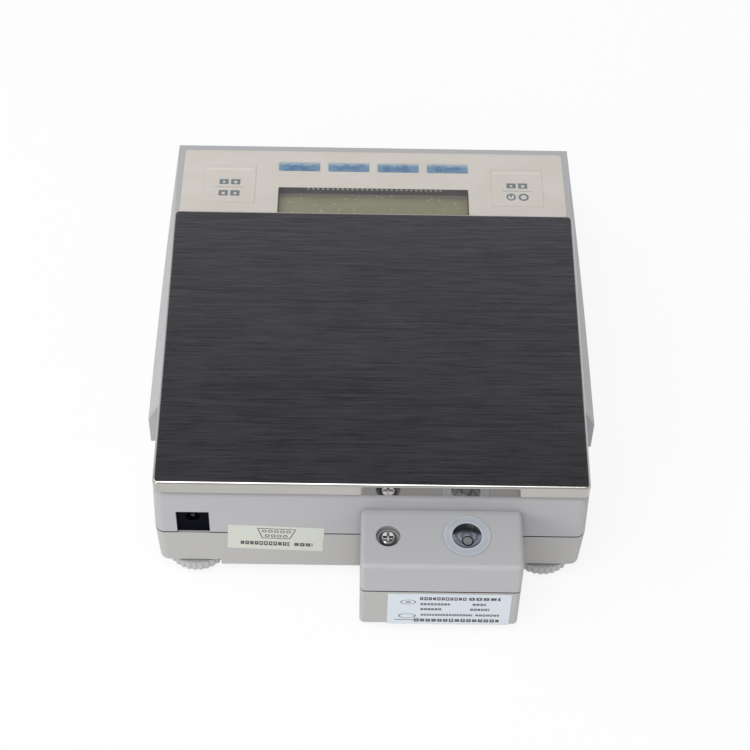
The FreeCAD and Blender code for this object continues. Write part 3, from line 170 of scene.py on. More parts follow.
class Graph:
    """Node graph of a material or of the world."""

    def __init__(self, tree: bpy.types.NodeTree) -> None:
        """Start from an empty tree.

        Args:
            tree: The node tree to fill.
        """
        self.tree = tree
        tree.nodes.clear()

    def node(self, kind: str, settings: dict, inputs: dict) -> bpy.types.Node:
        """Make any node.

        Args:
            kind: Type of the node.
            settings: Attributes of the node, set first.
            inputs: Values or links of its sockets, by name or number.

        Returns:
            The new node.
        """
        made = self.tree.nodes.new(kind)
        for key, value in settings.items():
            setattr(made, key, value)
        for key, value in inputs.items():
            target = made.inputs[key]
            source = value.socket if isinstance(value, Signal) else value
            if isinstance(source, bpy.types.NodeSocket):
                self.tree.links.new(source, target)
            else:
                target.default_value = source
        return made

    def math(self, operation: str, *values: Number) -> Signal:
        """Math node on one to three values.

        Args:
            operation: Name of the Math operation.
            values: The inputs in order.

        Returns:
            The node's result.
        """
        inputs = dict(enumerate(values))
        return Signal(self, self.node("ShaderNodeMath", {"operation": operation}, inputs).outputs[0])

    def split(self, vector: bpy.types.NodeSocket) -> Place:
        """Coordinates held by a vector socket.

        Args:
            vector: The socket.

        Returns:
            The vector with its three parts.
        """
        parts = self.node("ShaderNodeSeparateXYZ", {}, {0: vector}).outputs
        return Place(*(Signal(self, parts[index]) for index in range(3)), vector)

    def place(self) -> Place:
        """Coordinates of the surface point in the object's frame, in metres."""
        return self.split(self.node("ShaderNodeTexCoord", {}, {}).outputs["Object"])

    def around(self, name: str) -> Place:
        """Coordinates of the surface point from the middle of a node, in millimetres.

        Args:
            name: Name of the node.

        Returns:
            The coordinates.
        """
        vector = self.node("ShaderNodeTexCoord", {}, {}).outputs["Object"]
        inputs = {0: vector, 1: tuple(middle(name))}
        moved = self.node("ShaderNodeVectorMath", {"operation": "SUBTRACT"}, inputs)
        inputs = {0: moved.outputs[0], "Scale": 1 / MM}
        return self.split(self.node("ShaderNodeVectorMath", {"operation": "SCALE"}, inputs).outputs[0])

    def noise(self, place: Place, scale: Sequence[float], detail: float = 3.0,
              rough: float = 0.55) -> Signal:
        """Noise stretched along the axes.

        Args:
            place: Coordinates it follows.
            scale: Features per unit along X, Y and Z.
            detail: Octaves of the noise.
            rough: Strength of the finer octaves.

        Returns:
            Noise between 0 and 1.
        """
        inputs = {0: place.vector, 1: tuple(scale)}
        stretched = self.node("ShaderNodeVectorMath", {"operation": "MULTIPLY"}, inputs)
        inputs = {"Vector": stretched.outputs[0], "Scale": 1.0, "Detail": detail, "Roughness": rough}
        return Signal(self, self.node("ShaderNodeTexNoise", {}, inputs).outputs[0])

    def cells(self, place: Place, scale: float) -> Signal:
        """Distance to the nearest of scattered points, for specks.

        Args:
            place: Coordinates it follows.
            scale: Points per unit.

        Returns:
            The distance, in cell sizes.
        """
        inputs = {"Vector": place.vector, "Scale": scale}
        return Signal(self, self.node("ShaderNodeTexVoronoi", {}, inputs).outputs["Distance"])

    def mix(self, first: Paint, second: Paint, factor: Number) -> bpy.types.NodeSocket:
        """Blend of two colours.

        Args:
            first: Colour where the factor is 0.
            second: Colour where the factor is 1.
            factor: The blend.

        Returns:
            Socket of the blended colour.
        """
        colours = [(*paint, 1.0) if isinstance(paint, tuple) else paint for paint in (first, second)]
        made = self.node("ShaderNodeMix", {"data_type": "RGBA"}, {0: factor, 6: colours[0], 7: colours[1]})
        return made.outputs[2]

    def edges(self, radius: float) -> Signal:
        """Mask of the surface near its sharp edges.

        Args:
            radius: Reach of the mask in metres.

        Returns:
            0 on the flats, rising towards 1 on the edges.
        """
        soft = self.node("ShaderNodeBevel", {"samples": 6}, {"Radius": radius}).outputs[0]
        hard = self.node("ShaderNodeNewGeometry", {}, {}).outputs["Normal"]
        likeness = self.node("ShaderNodeVectorMath", {"operation": "DOT_PRODUCT"}, {0: soft, 1: hard})
        return Signal(self, likeness.outputs["Value"]).step(0.995, 0.85)

    def shelter(self, reach: float) -> Signal:
        """How far a point lies in a recess or corner.

        Args:
            reach: Distance in metres within which other surfaces count.

        Returns:
            0 in the open, 1 deep in a recess.
        """
        made = self.node("ShaderNodeAmbientOcclusion", {"samples": 8}, {"Distance": reach})
        return 1 - Signal(self, made.outputs["AO"])

    def bump(self, height: Signal, depth: float, edge: float = 0.0) -> bpy.types.NodeSocket:
        """Surface relief, over softened edges if an edge radius is given.

        Args:
            height: Relief between 0 and 1.
            depth: Depth of the relief in metres.
            edge: Radius of the softened edges in metres.

        Returns:
            Socket of the normal.
        """
        inputs = {"Height": height, "Strength": 1.0, "Distance": depth}
        if edge:
            inputs["Normal"] = self.node("ShaderNodeBevel", {"samples": 6}, {"Radius": edge}).outputs[0]
        return self.node("ShaderNodeBump", {}, inputs).outputs[0]


class Surface(Graph):
    """Node graph of one material."""

    def __init__(self, name: str) -> None:
        """Start an empty material.

        Args:
            name: Name of the material.
        """
        self.material = bpy.data.materials.new(name)
        self.material.use_nodes = True
        super().__init__(self.material.node_tree)

    def finish(self, inputs: dict) -> bpy.types.Material:
        """Close the graph with its surface shader.

        Args:
            inputs: Values or links of the shader's sockets.

        Returns:
            The finished material.
        """
        shader = self.node("ShaderNodeBsdfPrincipled", {}, inputs)
        self.node("ShaderNodeOutputMaterial", {}, {"Surface": shader.outputs[0]})
        return self.material


def middle(name: str) -> Vector:
    """Middle of a node's box.

    Args:
        name: Name of the node.

    Returns:
        The middle, in metres.
    """
    low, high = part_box(name)
    return (Vector(low) + Vector(high)) / 2


def scaled(colour: Colour, factor: float) -> Colour:
    """Colour made lighter or darker.

    Args:
        colour: The colour to start from.
        factor: What each channel is multiplied by.

    Returns:
        The new colour.
    """
    return tuple(min(channel * factor, 1.0) for channel in colour)


# ---------------------------------------------------------------- printed marks

class Print:
    """Marks printed on a flat face, drawn in millimetres from the face's centre."""

    def __init__(self, graph: Graph, across: Signal, along: Signal) -> None:
        """Set the print's axes.

        Args:
            graph: Graph of the printed material.
            across: Distance to the right of the centre, in millimetres.
            along: Distance above the centre, in millimetres.
        """
        self.graph = graph
        self.across = across
        self.along = along

    def bar(self, centre: tuple[float, float], width: float, height: float) -> Signal:
        """Filled rectangle.

        Args:
            centre: Its middle.
            width: Its size across.
            height: Its size along.

        Returns:
            Mask of the rectangle.
        """
        inside = abs(self.across - centre[0]) < width / 2
        return inside & (abs(self.along - centre[1]) < height / 2)

    def ring(self, centre: tuple[float, float], radius: float, line: float, squash: float = 1.0) -> Signal:
        """Circle or ellipse drawn with a line.

        Args:
            centre: Its middle.
            radius: Its radius across.
            line: Width of the line.
            squash: Height over width.

        Returns:
            Mask of the line.
        """
        side = self.across - centre[0]
        rise = (self.along - centre[1]) / squash
        distance = (side * side + rise * rise).apply("SQRT")
        return abs(distance - radius) < line / 2

    def dashes(self, centre: tuple[float, float], width: float, height: float, pitch: float) -> Signal:
        """Row of short blocks of uneven height that stands in for a printed line.

        Args:
            centre: Middle of the row.
            width: Length of the row.
            height: Height of the tallest blocks.
            pitch: Distance between blocks.

        Returns:
            Mask of the blocks.
        """
        cell = (self.across - (centre[0] - width / 2)) / pitch
        whole = cell.apply("FLOOR")
        part = cell.apply("FRACT")
        inputs = {"W": whole + centre[1]}
        chance = self.graph.node("ShaderNodeTexWhiteNoise", {"noise_dimensions": "1D"}, inputs)
        tall = Signal(self.graph, chance.outputs[0])
        level = (self.along - centre[1]) / (height / 2)
        frame_line = abs(level) < tall * 0.2 + 0.8
        hollow = (abs(part - 0.4) < tall * 0.16) & (abs(level - 0.1) < tall * 0.25 + 0.2)
        block = frame_line & (part < 0.8) & (1 - hollow)
        return block & (abs(self.across - centre[0]) < width / 2)

    def slanted(self, centre: tuple[float, float], widths: tuple[float, float], height: float,
                line: float) -> Signal:
        """Outline of a shape that narrows downwards.

        Args:
            centre: Its middle.
            widths: Width at the top and at the bottom.
            height: Its height.
            line: Width of the line.

        Returns:
            Mask of the outline.
        """
        wide, narrow = widths
        rise = self.along - centre[1]
        half = rise * ((wide - narrow) / 2 / height) + (wide + narrow) / 4
        inward = half - abs(self.across - centre[0])
        depth = inward & (height / 2 - abs(rise))
        return (depth > 0) & (depth < line)


# ---------------------------------------------------------------- finishes

class Sheen(Enum):
    """How glossy a moulded plastic is."""

    MATT = 0.56
    SATIN = 0.4


@dataclass(frozen=True)
class MouldedPlastic:
    """Plastic with a fine spark texture, painted highlights on its edges, painted shade in its corners and
    recesses, and painted shade on its seam line if one is given.
    """

    name: str
    colour: Colour
    sheen: Sheen = Sheen.MATT
    grain: float = 2200.0
    depth: float = 0.00003
    edge: float = 0.0004
    reach: float = 0.0035
    corner_shade: float = 0.42
    specular: float = 0.5
    seam: Optional[tuple[float, float]] = None

    def make(self) -> bpy.types.Material:
        """Build the material."""
        graph = Surface(self.name)
        place = graph.place()
        drift = graph.noise(place, (14.0, 14.0, 14.0), detail=2.0)
        grain = graph.noise(place, (self.grain,) * 3, detail=2.0, rough=0.6)
        specks = graph.cells(place, self.grain * 0.4)
        colour = graph.mix(self.colour, scaled(self.colour, 0.93), drift * 0.6 + grain * 0.4)
        # painted highlight: edges lightened by a fifth, where light catches them
        colour = graph.mix(colour, scaled(self.colour, 1.2), graph.edges(self.edge * 1.6) * 0.6)
        # painted shade: corners and recesses darkened towards 0.16 of the colour
        colour = graph.mix(colour, scaled(self.colour, 0.16), graph.shelter(self.reach) * self.corner_shade)
        # painted shade: the seam band between the shells darkened to 0.2 of the colour
        if self.seam:
            low, high = self.seam
            colour = graph.mix(colour, scaled(self.colour, 0.2), (place.z > low) & (place.z < high))
        rough = drift * 0.06 + grain * 0.08 + (self.sheen.value - 0.07)
        normal = graph.bump(grain * 0.7 + specks * 0.3, self.depth, self.edge)
        return graph.finish({"Base Color": colour, "Roughness": rough, "Normal": normal,
                             "Specular IOR Level": self.specular})


@dataclass(frozen=True)
class PanSteel:
    """Pan top with fine brush lines from side to side, darkened in colour as a painted dark reflection, and
    a polished bent edge and skirt.
    """

    name: str
    node: str
    # painted reflection: the top is coloured far darker than steel, standing for the dark ceiling it
    # reflects
    brushed_painted_dark: Colour = (0.19, 0.186, 0.204)
    polished: Colour = (0.5, 0.485, 0.455)

    def make(self) -> bpy.types.Material:
        """Build the material."""
        graph = Surface(self.name)
        place = graph.place()
        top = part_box(self.node)[1][2]
        flat = place.z.step(top - 0.0001, top - 0.00002)
        fine = graph.noise(place, (70.0, 2300.0, 900.0), detail=3.0, rough=0.75)
        hair = graph.noise(place, (30.0, 1300.0, 600.0), detail=2.0, rough=0.6)
        drift = graph.noise(place, (9.0, 60.0, 9.0), detail=1.0)
        streak = fine * 0.65 + hair * 0.35
        lit = (streak + drift * 0.08).step(0.34, 0.74)
        # painted reflection: dark colour of the top, varied along its brush lines
        steel = graph.mix(scaled(self.brushed_painted_dark, 0.74), scaled(self.brushed_painted_dark, 1.32), lit)
        rub = graph.noise(place, (35.0, 35.0, 500.0), detail=2.0)
        bright = graph.mix(self.polished, scaled(self.polished, 0.88), rub)
        colour = graph.mix(bright, steel, flat)
        rough = flat * (streak * 0.14 + 0.13) + rub * 0.05 + 0.06
        normal = graph.bump(streak * flat, 0.00001)
        return graph.finish({"Base Color": colour, "Metallic": 1.0, "Roughness": rough, "Normal": normal})


@dataclass(frozen=True)
class PlainMetal:
    """Turned, cast or plated metal with fine marks from its making."""

    name: str
    colour: Colour
    rough: float = 0.25
    grain: float = 900.0
    stretch: float = 1.0
    depth: float = 0.000008
    thread: float = 0.0

    def make(self) -> bpy.types.Material:
        """Build the material."""
        graph = Surface(self.name)
        place = graph.place()
        grain = graph.noise(place, (self.grain, self.grain, self.grain * self.stretch), detail=3.0)
        drift = graph.noise(place, (60.0, 60.0, 60.0), detail=2.0)
        colour = graph.mix(self.colour, scaled(self.colour, 0.8), drift * 0.6 + grain * 0.4)
        # painted shade: recesses within 2 mm darkened towards 0.12 of the colour
        colour = graph.mix(colour, scaled(self.colour, 0.12), graph.shelter(0.002) * 0.8)
        rough = grain * 0.12 + drift * 0.08 + (self.rough - 0.08)
        relief = place.z.wave(self.thread) if self.thread else grain
        normal = graph.bump(relief, self.thread * 0.5 or self.depth, 0.00015)
        return graph.finish({"Base Color": colour, "Metallic": 1.0, "Roughness": rough, "Normal": normal})


@dataclass(frozen=True)
class Rubber:
    """Black rubber with a dusty bloom."""

    name: str
    black: Colour = (0.018, 0.018, 0.018)
    bloom: Colour = (0.05, 0.05, 0.048)

    def make(self) -> bpy.types.Material:
        """Build the material."""
        graph = Surface(self.name)
        place = graph.place()
        dusty = graph.noise(place, (180.0, 180.0, 180.0), detail=4.0)
        colour = graph.mix(self.black, self.bloom, dusty)
        normal = graph.bump(graph.noise(place, (1800.0,) * 3), 0.00004)
        return graph.finish({"Base Color": colour, "Roughness": dusty * 0.15 + 0.7, "Normal": normal})


class KeyMarks(Enum):
    """Which generic marks a large key has."""

    ZERO = "zero"
    POWER = "power"


@dataclass(frozen=True)
class OverlayFilm:
    """Satin printed film, slightly rippled where it is stuck down."""

    name: str
    colour: Colour
    node: Optional[str] = None
    marks: Optional[KeyMarks] = None
    ink: Colour = (0.1, 0.145, 0.165)
    rule: Colour = (0.33, 0.34, 0.31)

    def make(self) -> bpy.types.Material:
        """Build the material, with the marks of its key if it has any."""
        graph = Surface(self.name)
        place = graph.place()
        ripple = graph.noise(place, (45.0, 80.0, 45.0), detail=2.0)
        grain = graph.noise(place, (3200.0,) * 3, detail=1.0)
        warm = tuple(channel * factor for channel, factor in zip(self.colour, (0.965, 0.96, 0.945)))
        colour = graph.mix(self.colour, warm, ripple.step(0.35, 0.65))
        height = ripple * 0.9 + grain * 0.1
        if self.marks and self.node:
            key = graph.around(self.node)
            ink = Print(graph, key.x, key.y / math.cos(PANEL_SLOPE))
            # painted highlight: a light band along the key's embossed front edge, which is also raised in
            # the relief
            lip_highlight = abs(ink.along + 12.2).step(0.9, 0.2) & (abs(key.x) < 11.4)
            colour = graph.mix(colour, scaled(self.colour, 1.16), lip_highlight * 0.75)
            colour = graph.mix(colour, self.rule, ink.bar((0.0, 1.9), 14.6, 0.45))
            colour = graph.mix(colour, self.ink, self.draw(ink) * 0.88)
            height = height + lip_highlight * 0.2
        normal = graph.bump(height, 0.0003, 0.0003)
        return graph.finish({"Base Color": colour, "Roughness": ripple * 0.1 + 0.36, "Normal": normal,
                             "Specular IOR Level": 0.4})

    def draw(self, ink: Print) -> Signal:
        """Generic marks of a large key: two symbols on each side of a line.

        Args:
            ink: The print on the key.

        Returns:
            Mask of the marks.
        """
        upper = ink.dashes((0.5, -2.2), 11.4, 4.2, 5.7)
        if self.marks is KeyMarks.ZERO:
            return upper | ink.dashes((0.5, 6.5), 11.4, 4.4, 5.7)
        symbol = ink.ring((3.1, 6.5), 1.9, 0.9, 1.15) | ink.bar((3.1, 5.4), 0.9, 2.8)
        return upper | symbol | ink.ring((-3.0, 6.5), 2.0, 1.1, 1.1)


@dataclass(frozen=True)
class BlueKey:
    """Blue printed key, paler towards the operator, with darker generic blotches."""

    name: str
    node: str
    pale: Colour = (0.37, 0.44, 0.5)
    blue: Colour = (0.15, 0.26, 0.37)
    blotch: Colour = (0.075, 0.16, 0.31)
    ink: Colour = (0.05, 0.13, 0.28)
    rear_edge: Colour = (0.07, 0.17, 0.31)

    def make(self) -> bpy.types.Material:
        """Build the material."""
        graph = Surface(self.name)
        key = graph.around(self.node)
        place = graph.place()
        cloud = graph.noise(place, (240.0, 300.0, 240.0), detail=2.0)
        back = (key.y + cloud * 2.4).step(-2.6, 0.2)
        colour = graph.mix(self.pale, self.blue, back)
        blot = cloud.step(0.42, 0.62) & abs(key.x).step(8.4, 6.0) & back
        colour = graph.mix(colour, self.blotch, blot * 0.8)
        marks = Print(graph, key.x, key.y).dashes((0.0, 0.4), 11.0, 2.6, 1.9)
        colour = graph.mix(colour, self.ink, marks * 0.5)
        rear = (key.y + cloud * 1.2).step(3.0, 3.6)
        colour = graph.mix(colour, self.rear_edge, rear * 0.7)
        normal = graph.bump(graph.noise(place, (2800.0,) * 3), 0.00002, 0.0004)
        return graph.finish({"Base Color": colour, "Roughness": cloud * 0.1 + 0.3, "Normal": normal})


@dataclass(frozen=True)
class DisplayFilm:
    """Unlit liquid crystal display: mottled olive field, greyer towards the contacts."""

    name: str
    node: str
    olive: Colour = (0.205, 0.2, 0.12)
    pale_olive: Colour = (0.235, 0.225, 0.15)
    grey: Colour = (0.155, 0.147, 0.14)
    speck: Colour = (0.6, 0.6, 0.5)

    def make(self) -> bpy.types.Material:
        """Build the material."""
        graph = Surface(self.name)
        glass = graph.around(self.node)
        place = graph.place()
        cloud = graph.noise(place, (40.0, 70.0, 40.0), detail=3.0)
        specks = graph.cells(place, 300.0) < 0.13
        field = graph.mix(self.olive, self.pale_olive, cloud.step(0.35, 0.65))
        front = (glass.y + cloud * 3.0).step(-5.0, -9.5)
        colour = graph.mix(field, self.grey, front * 0.8)
        colour = graph.mix(colour, self.speck, specks * 0.6)
        normal = graph.bump(cloud, 0.00005)
        return graph.finish({"Base Color": colour, "Roughness": cloud * 0.1 + 0.25, "Normal": normal})


@dataclass(frozen=True)
class WindowLining:
    """Dark frame under the window, with a row of pale contact ends along its front edge."""

    name: str
    node: str
    dark: Colour = (0.11, 0.1, 0.112)
    darker: Colour = (0.09, 0.085, 0.09)
    contact: Colour = (0.5, 0.49, 0.45)
    contact_pitch: float = 2.4 * MM

    def make(self) -> bpy.types.Material:
        """Build the material."""
        graph = Surface(self.name)
        frame_place = graph.around(self.node)
        place = graph.place()
        cloud = graph.noise(place, (120.0, 120.0, 400.0), detail=2.0)
        colour = graph.mix(self.dark, self.darker, cloud)
        rise = frame_place.z - (frame_place.y * math.tan(PANEL_SLOPE))
        row = Print(graph, frame_place.x, rise).bar((-1.0, 0.8), 68.0, 1.1)
        dots = row & (place.x.wave(self.contact_pitch) > 0.6)
        front = frame_place.y < -10.0
        colour = graph.mix(colour, self.contact, (dots & front) * 0.8)
        normal = graph.bump(cloud, 0.00003)
        return graph.finish({"Base Color": colour, "Roughness": cloud * 0.1 + 0.45, "Normal": normal})


@dataclass(frozen=True)
class ClearAcrylic:
    """Clear window with a faint tint and fine scratches."""

    name: str
    tint: Colour
    cover: float = 0.02

    def make(self) -> bpy.types.Material:
        """Build the material."""
        graph = Surface(self.name)
        place = graph.place()
        scratch = graph.noise(place, (500.0, 40.0, 500.0), detail=3.0)
        alpha = scratch.step(0.62, 0.8) * 0.06 + self.cover
        return graph.finish({"Base Color": (*self.tint, 1.0), "Roughness": scratch * 0.08 + 0.04,
                             "Alpha": alpha, "Coat Weight": 0.5})


class LabelKind(Enum):
    """Which generic print a label has."""

    PORT = "port"
    RATING = "rating"


@dataclass(frozen=True)
class PrintedLabel:
    """Coated paper label with a generic print."""

    name: str
    node: str
    kind: LabelKind
    paper: Colour
    ink: Colour = (0.02, 0.02, 0.025)

    def make(self) -> bpy.types.Material:
        """Build the material."""
        graph = Surface(self.name)
        place = graph.place()
        label = graph.around(self.node)
        turn = PORT_LABEL_TURN if self.kind is LabelKind.PORT else 0.0
        across = label.x * -math.cos(turn) - label.z * math.sin(turn)
        along = label.x * -math.sin(turn) + label.z * math.cos(turn)
        fibre = graph.noise(place, (700.0,) * 3, detail=3.0)
        wash = graph.noise(place, (45.0,) * 3, detail=1.0)
        colour = graph.mix(self.paper, scaled(self.paper, 0.92), wash * 0.6 + fibre * 0.4)
        ink = Print(graph, across, along)
        marks = self.port_marks(ink) if self.kind is LabelKind.PORT else self.rating_marks(ink)
        colour = graph.mix(colour, self.ink, marks * 0.95)
        normal = graph.bump(fibre, 0.00002)
        return graph.finish({"Base Color": colour, "Roughness": fibre * 0.1 + 0.42, "Normal": normal})

    def port_marks(self, ink: Print) -> Signal:
        """Outline of a nine-way connector over a row of blocks.

        Args:
            ink: The print on the label.

        Returns:
            Mask of the marks.
        """
        marks = ink.slanted((0.2, 3.6), (17.6, 12.6), 8.0, 0.5)
        for index in range(5):
            marks = marks | ink.ring(((index - 2) * 2.7 + 0.2, 5.3), 0.85, 0.5)
        for index in range(4):
            marks = marks | ink.ring(((index - 1.5) * 2.7 + 0.2, 1.8), 0.85, 0.5)
        return marks | ink.dashes((-4.6, -4.5), 22.0, 3.3, 2.1) | ink.dashes((12.6, -4.5), 8.2, 3.0, 2.6)

    def rating_marks(self, ink: Print) -> Signal:
        """Rows of blocks beside two small generic frames.

        Args:
            ink: The print on the label.

        Returns:
            Mask of the marks.
        """
        rows = [((-2.6, 9.0), 21.0, 2.8, 1.9), ((15.6, 9.0), 14.0, 2.6, 3.2),
                ((-6.2, 4.4), 13.0, 2.0, 1.5), ((13.4, 4.4), 6.0, 2.0, 1.7),
                ((-7.8, 0.2), 9.6, 2.0, 1.6), ((13.8, 0.2), 8.6, 2.0, 1.6),
                ((-0.8, -4.6), 23.0, 1.8, 1.25), ((17.4, -4.6), 10.6, 1.8, 1.6),
                ((3.8, -9.2), 38.0, 2.8, 2.6)]
        marks = ink.ring((-18.2, 6.0), 3.2, 0.5, 0.55) | ink.bar((-18.2, 6.0), 2.2, 0.9)
        marks = marks | ink.ring((-18.4, -5.6), 3.6, 0.6, 0.5) | ink.bar((-18.4, -8.9), 11.0, 0.5)
        for centre, width, height, pitch in rows:
            marks = marks | ink.dashes(centre, width, height, pitch)
        return marks


@dataclass(frozen=True)
class RingPlastic:
    """Cloudy plastic of the spirit level's ring, with painted highlight rings at its edges, a painted dark
    ring of shade round its outside and painted shade on its inner wall.
    """

    name: str
    node: str
    clear: Colour = (0.43, 0.46, 0.5)
    cloudy: Colour = (0.39, 0.42, 0.47)
    lip_highlight: Colour = (0.53, 0.56, 0.6)
    gap_shade: Colour = (0.2, 0.21, 0.23)
    wall: Colour = (0.035, 0.038, 0.045)

    def make(self) -> bpy.types.Material:
        """Build the material."""
        graph = Surface(self.name)
        ring = graph.around(self.node)
        place = graph.place()
        cloud = graph.noise(place, (90.0,) * 3, detail=2.0)
        radius = ring.radius()
        colour = graph.mix(self.clear, self.cloudy, cloud)
        # painted highlights: light rings at radii 10 mm and 6.9 mm, on the ring's edges
        edge_highlights = abs(radius - 10.0).step(0.5, 0.1) | abs(radius - 6.9).step(0.45, 0.1)
        colour = graph.mix(colour, self.lip_highlight, edge_highlights * 0.6)
        # painted shade: a thin dark ring at the outer edge, where the ring meets the housing
        rim = abs(radius - 10.4).step(0.12, 0.02)
        colour = graph.mix(colour, self.gap_shade, rim * 0.6)
        # painted shade: the inner wall of the well coloured nearly black
        inner = radius.step(6.5, 6.42)
        colour = graph.mix(colour, self.wall, inner)
        normal = graph.bump(cloud, 0.0001, 0.0003)
        return graph.finish({"Base Color": colour, "Roughness": cloud * 0.1 + 0.22, "Normal": normal,
                             "Coat Weight": 0.4})


@dataclass(frozen=True)
class VialFluid:
    """Spirit level seen through its lid: pale bowl with darker arcs around the centre."""

    name: str
    node: str
    bubble: str
    deep: Colour = (0.1, 0.115, 0.145)
    bowl: Colour = (0.24, 0.258, 0.3)
    shade: Colour = (0.018, 0.02, 0.026)
    air: Colour = (0.19, 0.2, 0.215)
    outline: Colour = (0.008, 0.008, 0.01)
    bubble_radius: float = 2.3
    outline_half: float = 0.34

    def make(self) -> bpy.types.Material:
        """Build the material."""
        graph = Surface(self.name)
        vial = graph.around(self.node)
        place = graph.place()
        radius = vial.radius()
        cloud = graph.noise(place, (260.0,) * 3)
        arcs = (radius + vial.y * 0.4 + cloud * 0.4).wave(2.6)
        colour = graph.mix(self.deep, self.bowl, arcs)
        shade = (vial.y * -1.0 + radius * 0.4).step(3.0, 5.2)
        colour = graph.mix(colour, self.shade, shade)
        from_air = graph.around(self.bubble).radius()
        colour = graph.mix(colour, self.air, from_air < self.bubble_radius + 0.1)
        colour = graph.mix(colour, self.outline, abs(from_air - self.bubble_radius) < self.outline_half)
        normal = graph.bump(radius.step(6.2, 0.0), 0.0009)
        return graph.finish({"Base Color": colour, "Roughness": arcs * 0.08 + 0.08, "Normal": normal,
                             "Coat Weight": 1.0, "Coat Roughness": 0.03})


@dataclass(frozen=True)
class Bubble:
    """Air bubble of the spirit level: grey disc with a dark rim."""

    name: str
    node: str
    air: Colour = (0.16, 0.168, 0.18)
    outline: Colour = (0.008, 0.008, 0.01)

    def make(self) -> bpy.types.Material:
        """Build the material."""
        graph = Surface(self.name)
        bubble = graph.around(self.node)
        low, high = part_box(self.node)
        half = (high[0] - low[0]) / 2 / MM
        cloud = graph.noise(graph.place(), (400.0,) * 3)
        rim = bubble.radius().step(half * 0.7, half * 0.84)
        colour = graph.mix(self.air, self.outline, rim)
        normal = graph.bump(cloud, 0.0001)
        return graph.finish({"Base Color": colour, "Roughness": cloud * 0.05 + 0.08, "Normal": normal,
                             "Coat Weight": 1.0})


@dataclass(frozen=True)
class CircuitBoard:
    """Green board with paler tracks and solder dots."""

    name: str
    mask: Colour = (0.012, 0.085, 0.03)
    track: Colour = (0.03, 0.17, 0.07)
    solder: Colour = (0.55, 0.53, 0.45)
    track_pitch: float = 7.0 * MM

    def make(self) -> bpy.types.Material:
        """Build the material."""
        graph = Surface(self.name)
        place = graph.place()
        routes = graph.noise(place, (60.0, 25.0, 60.0), detail=1.0) > 0.52
        tracks = (place.x.wave(self.track_pitch) > 0.78) & routes
        dots = graph.cells(place, 260.0) < 0.13
        colour = graph.mix(self.mask, self.track, tracks)
        colour = graph.mix(colour, self.solder, dots)
        normal = graph.bump(tracks | dots, 0.00004)
        return graph.finish({"Base Color": colour, "Metallic": dots * 0.8, "Roughness": dots * -0.1 + 0.4,
                             "Normal": normal})


@dataclass(frozen=True)
class FlatCable:
    """Ribbon cable with parallel cores."""

    name: str
    colour: Colour
    cores: float

    def make(self) -> bpy.types.Material:
        """Build the material."""
        graph = Surface(self.name)
        cores = graph.place().x.wave(self.cores)
        colour = graph.mix(scaled(self.colour, 0.6), self.colour, cores)
        normal = graph.bump(cores, 0.0002)
        return graph.finish({"Base Color": colour, "Roughness": cores * 0.1 + 0.4, "Normal": normal})


# ---------------------------------------------------------------- modelled pieces

Outline = list[tuple[float, float]]


@dataclass(frozen=True)
class PanelFrame:
    """The sloping front panel's own plane, with its origin on the overlay's rear edge."""

    node: str = "keypad_overlay"
    thick: float = 0.8 * MM

    def place(self, x: float, y: float, level: float) -> Vector:
        """Point of the panel in the object's frame.

        Args:
            x: Distance to the right of the middle.
            y: Distance along the slope, negative towards the operator.
            level: Height above the overlay.

        Returns:
            The point.
        """
        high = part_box(self.node)[1]
        rear = Vector((x, high[1] - self.thick * math.sin(PANEL_SLOPE), high[2]))
        along = Vector((0.0, math.cos(PANEL_SLOPE), math.sin(PANEL_SLOPE)))
        upward = Vector((0.0, -math.sin(PANEL_SLOPE), math.cos(PANEL_SLOPE)))
        return rear + along * y + upward * level

    def ring(self, centre: tuple[float, float], size: tuple[float, float], grow: float, corner: float,
             level: float) -> list[Vector]:
        """Rounded rectangle lying in the panel.

        Args:
            centre: Its middle on the panel.
            size: Its width and depth before it grows.
            grow: Distance by which each side moves out.
            corner: Radius of its corners before it grows.
            level: Height above the overlay.

        Returns:
            The points in order.
        """
        outline = rounded_outline(size[0] + 2 * grow, size[1] + 2 * grow, max(corner + grow, 0.1 * MM))
        return [self.place(centre[0] + across, centre[1] + along, level) for across, along in outline]


def rounded_outline(width: float, depth: float, radius: float, steps: int = 5) -> Outline:
    """Outline of a rectangle with rounded corners.

    Args:
        width: Size across.
        depth: Size along.
        radius: Radius of the corners.
        steps: Segments of each corner.

    Returns:
        The points in order.
    """
    points = []
    for corner, (side, end) in enumerate(((1, 1), (-1, 1), (-1, -1), (1, -1))):
        for index in range(steps + 1):
            angle = math.pi / 2 * (corner + index / steps)
            points.append((side * (width / 2 - radius) + radius * math.cos(angle),
                           end * (depth / 2 - radius) + radius * math.sin(angle)))
    return points


def add_mesh(name: str, loops: list[list[Vector]], closed: bool,
             material: bpy.types.Material) -> bpy.types.Object:
    """Smooth mesh stretched over a row of loops.

    Args:
        name: Name of the piece.
        loops: Rings of points, all with the same number of points.
        closed: Whether the last loop joins the first; otherwise both ends are capped.
        material: Finish of the piece.

    Returns:
        The new object, riding on the base.
    """
    count = len(loops[0])
    pairs = [(index, index + 1) for index in range(len(loops) - 1)]
    faces = []
    if closed:
        pairs.append((len(loops) - 1, 0))
    else:
        last = (len(loops) - 1) * count
        faces += [list(reversed(range(count))), list(range(last, last + count))]
    for first, second in pairs:
        for index in range(count):
            after = (index + 1) % count
            faces.append([first * count + index, first * count + after, second * count + after,
                          second * count + index])
    mesh = bpy.data.meshes.new(name)
    mesh.from_pydata([point for loop in loops for point in loop], [], faces)
    mesh.materials.append(material)
    mesh.validate()
    item = bpy.data.objects.new(name, mesh)
    bpy.context.scene.collection.objects.link(item)
    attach(item, "base")
    LOG.info("modelled %s with %d faces", name, len(faces))
    return item


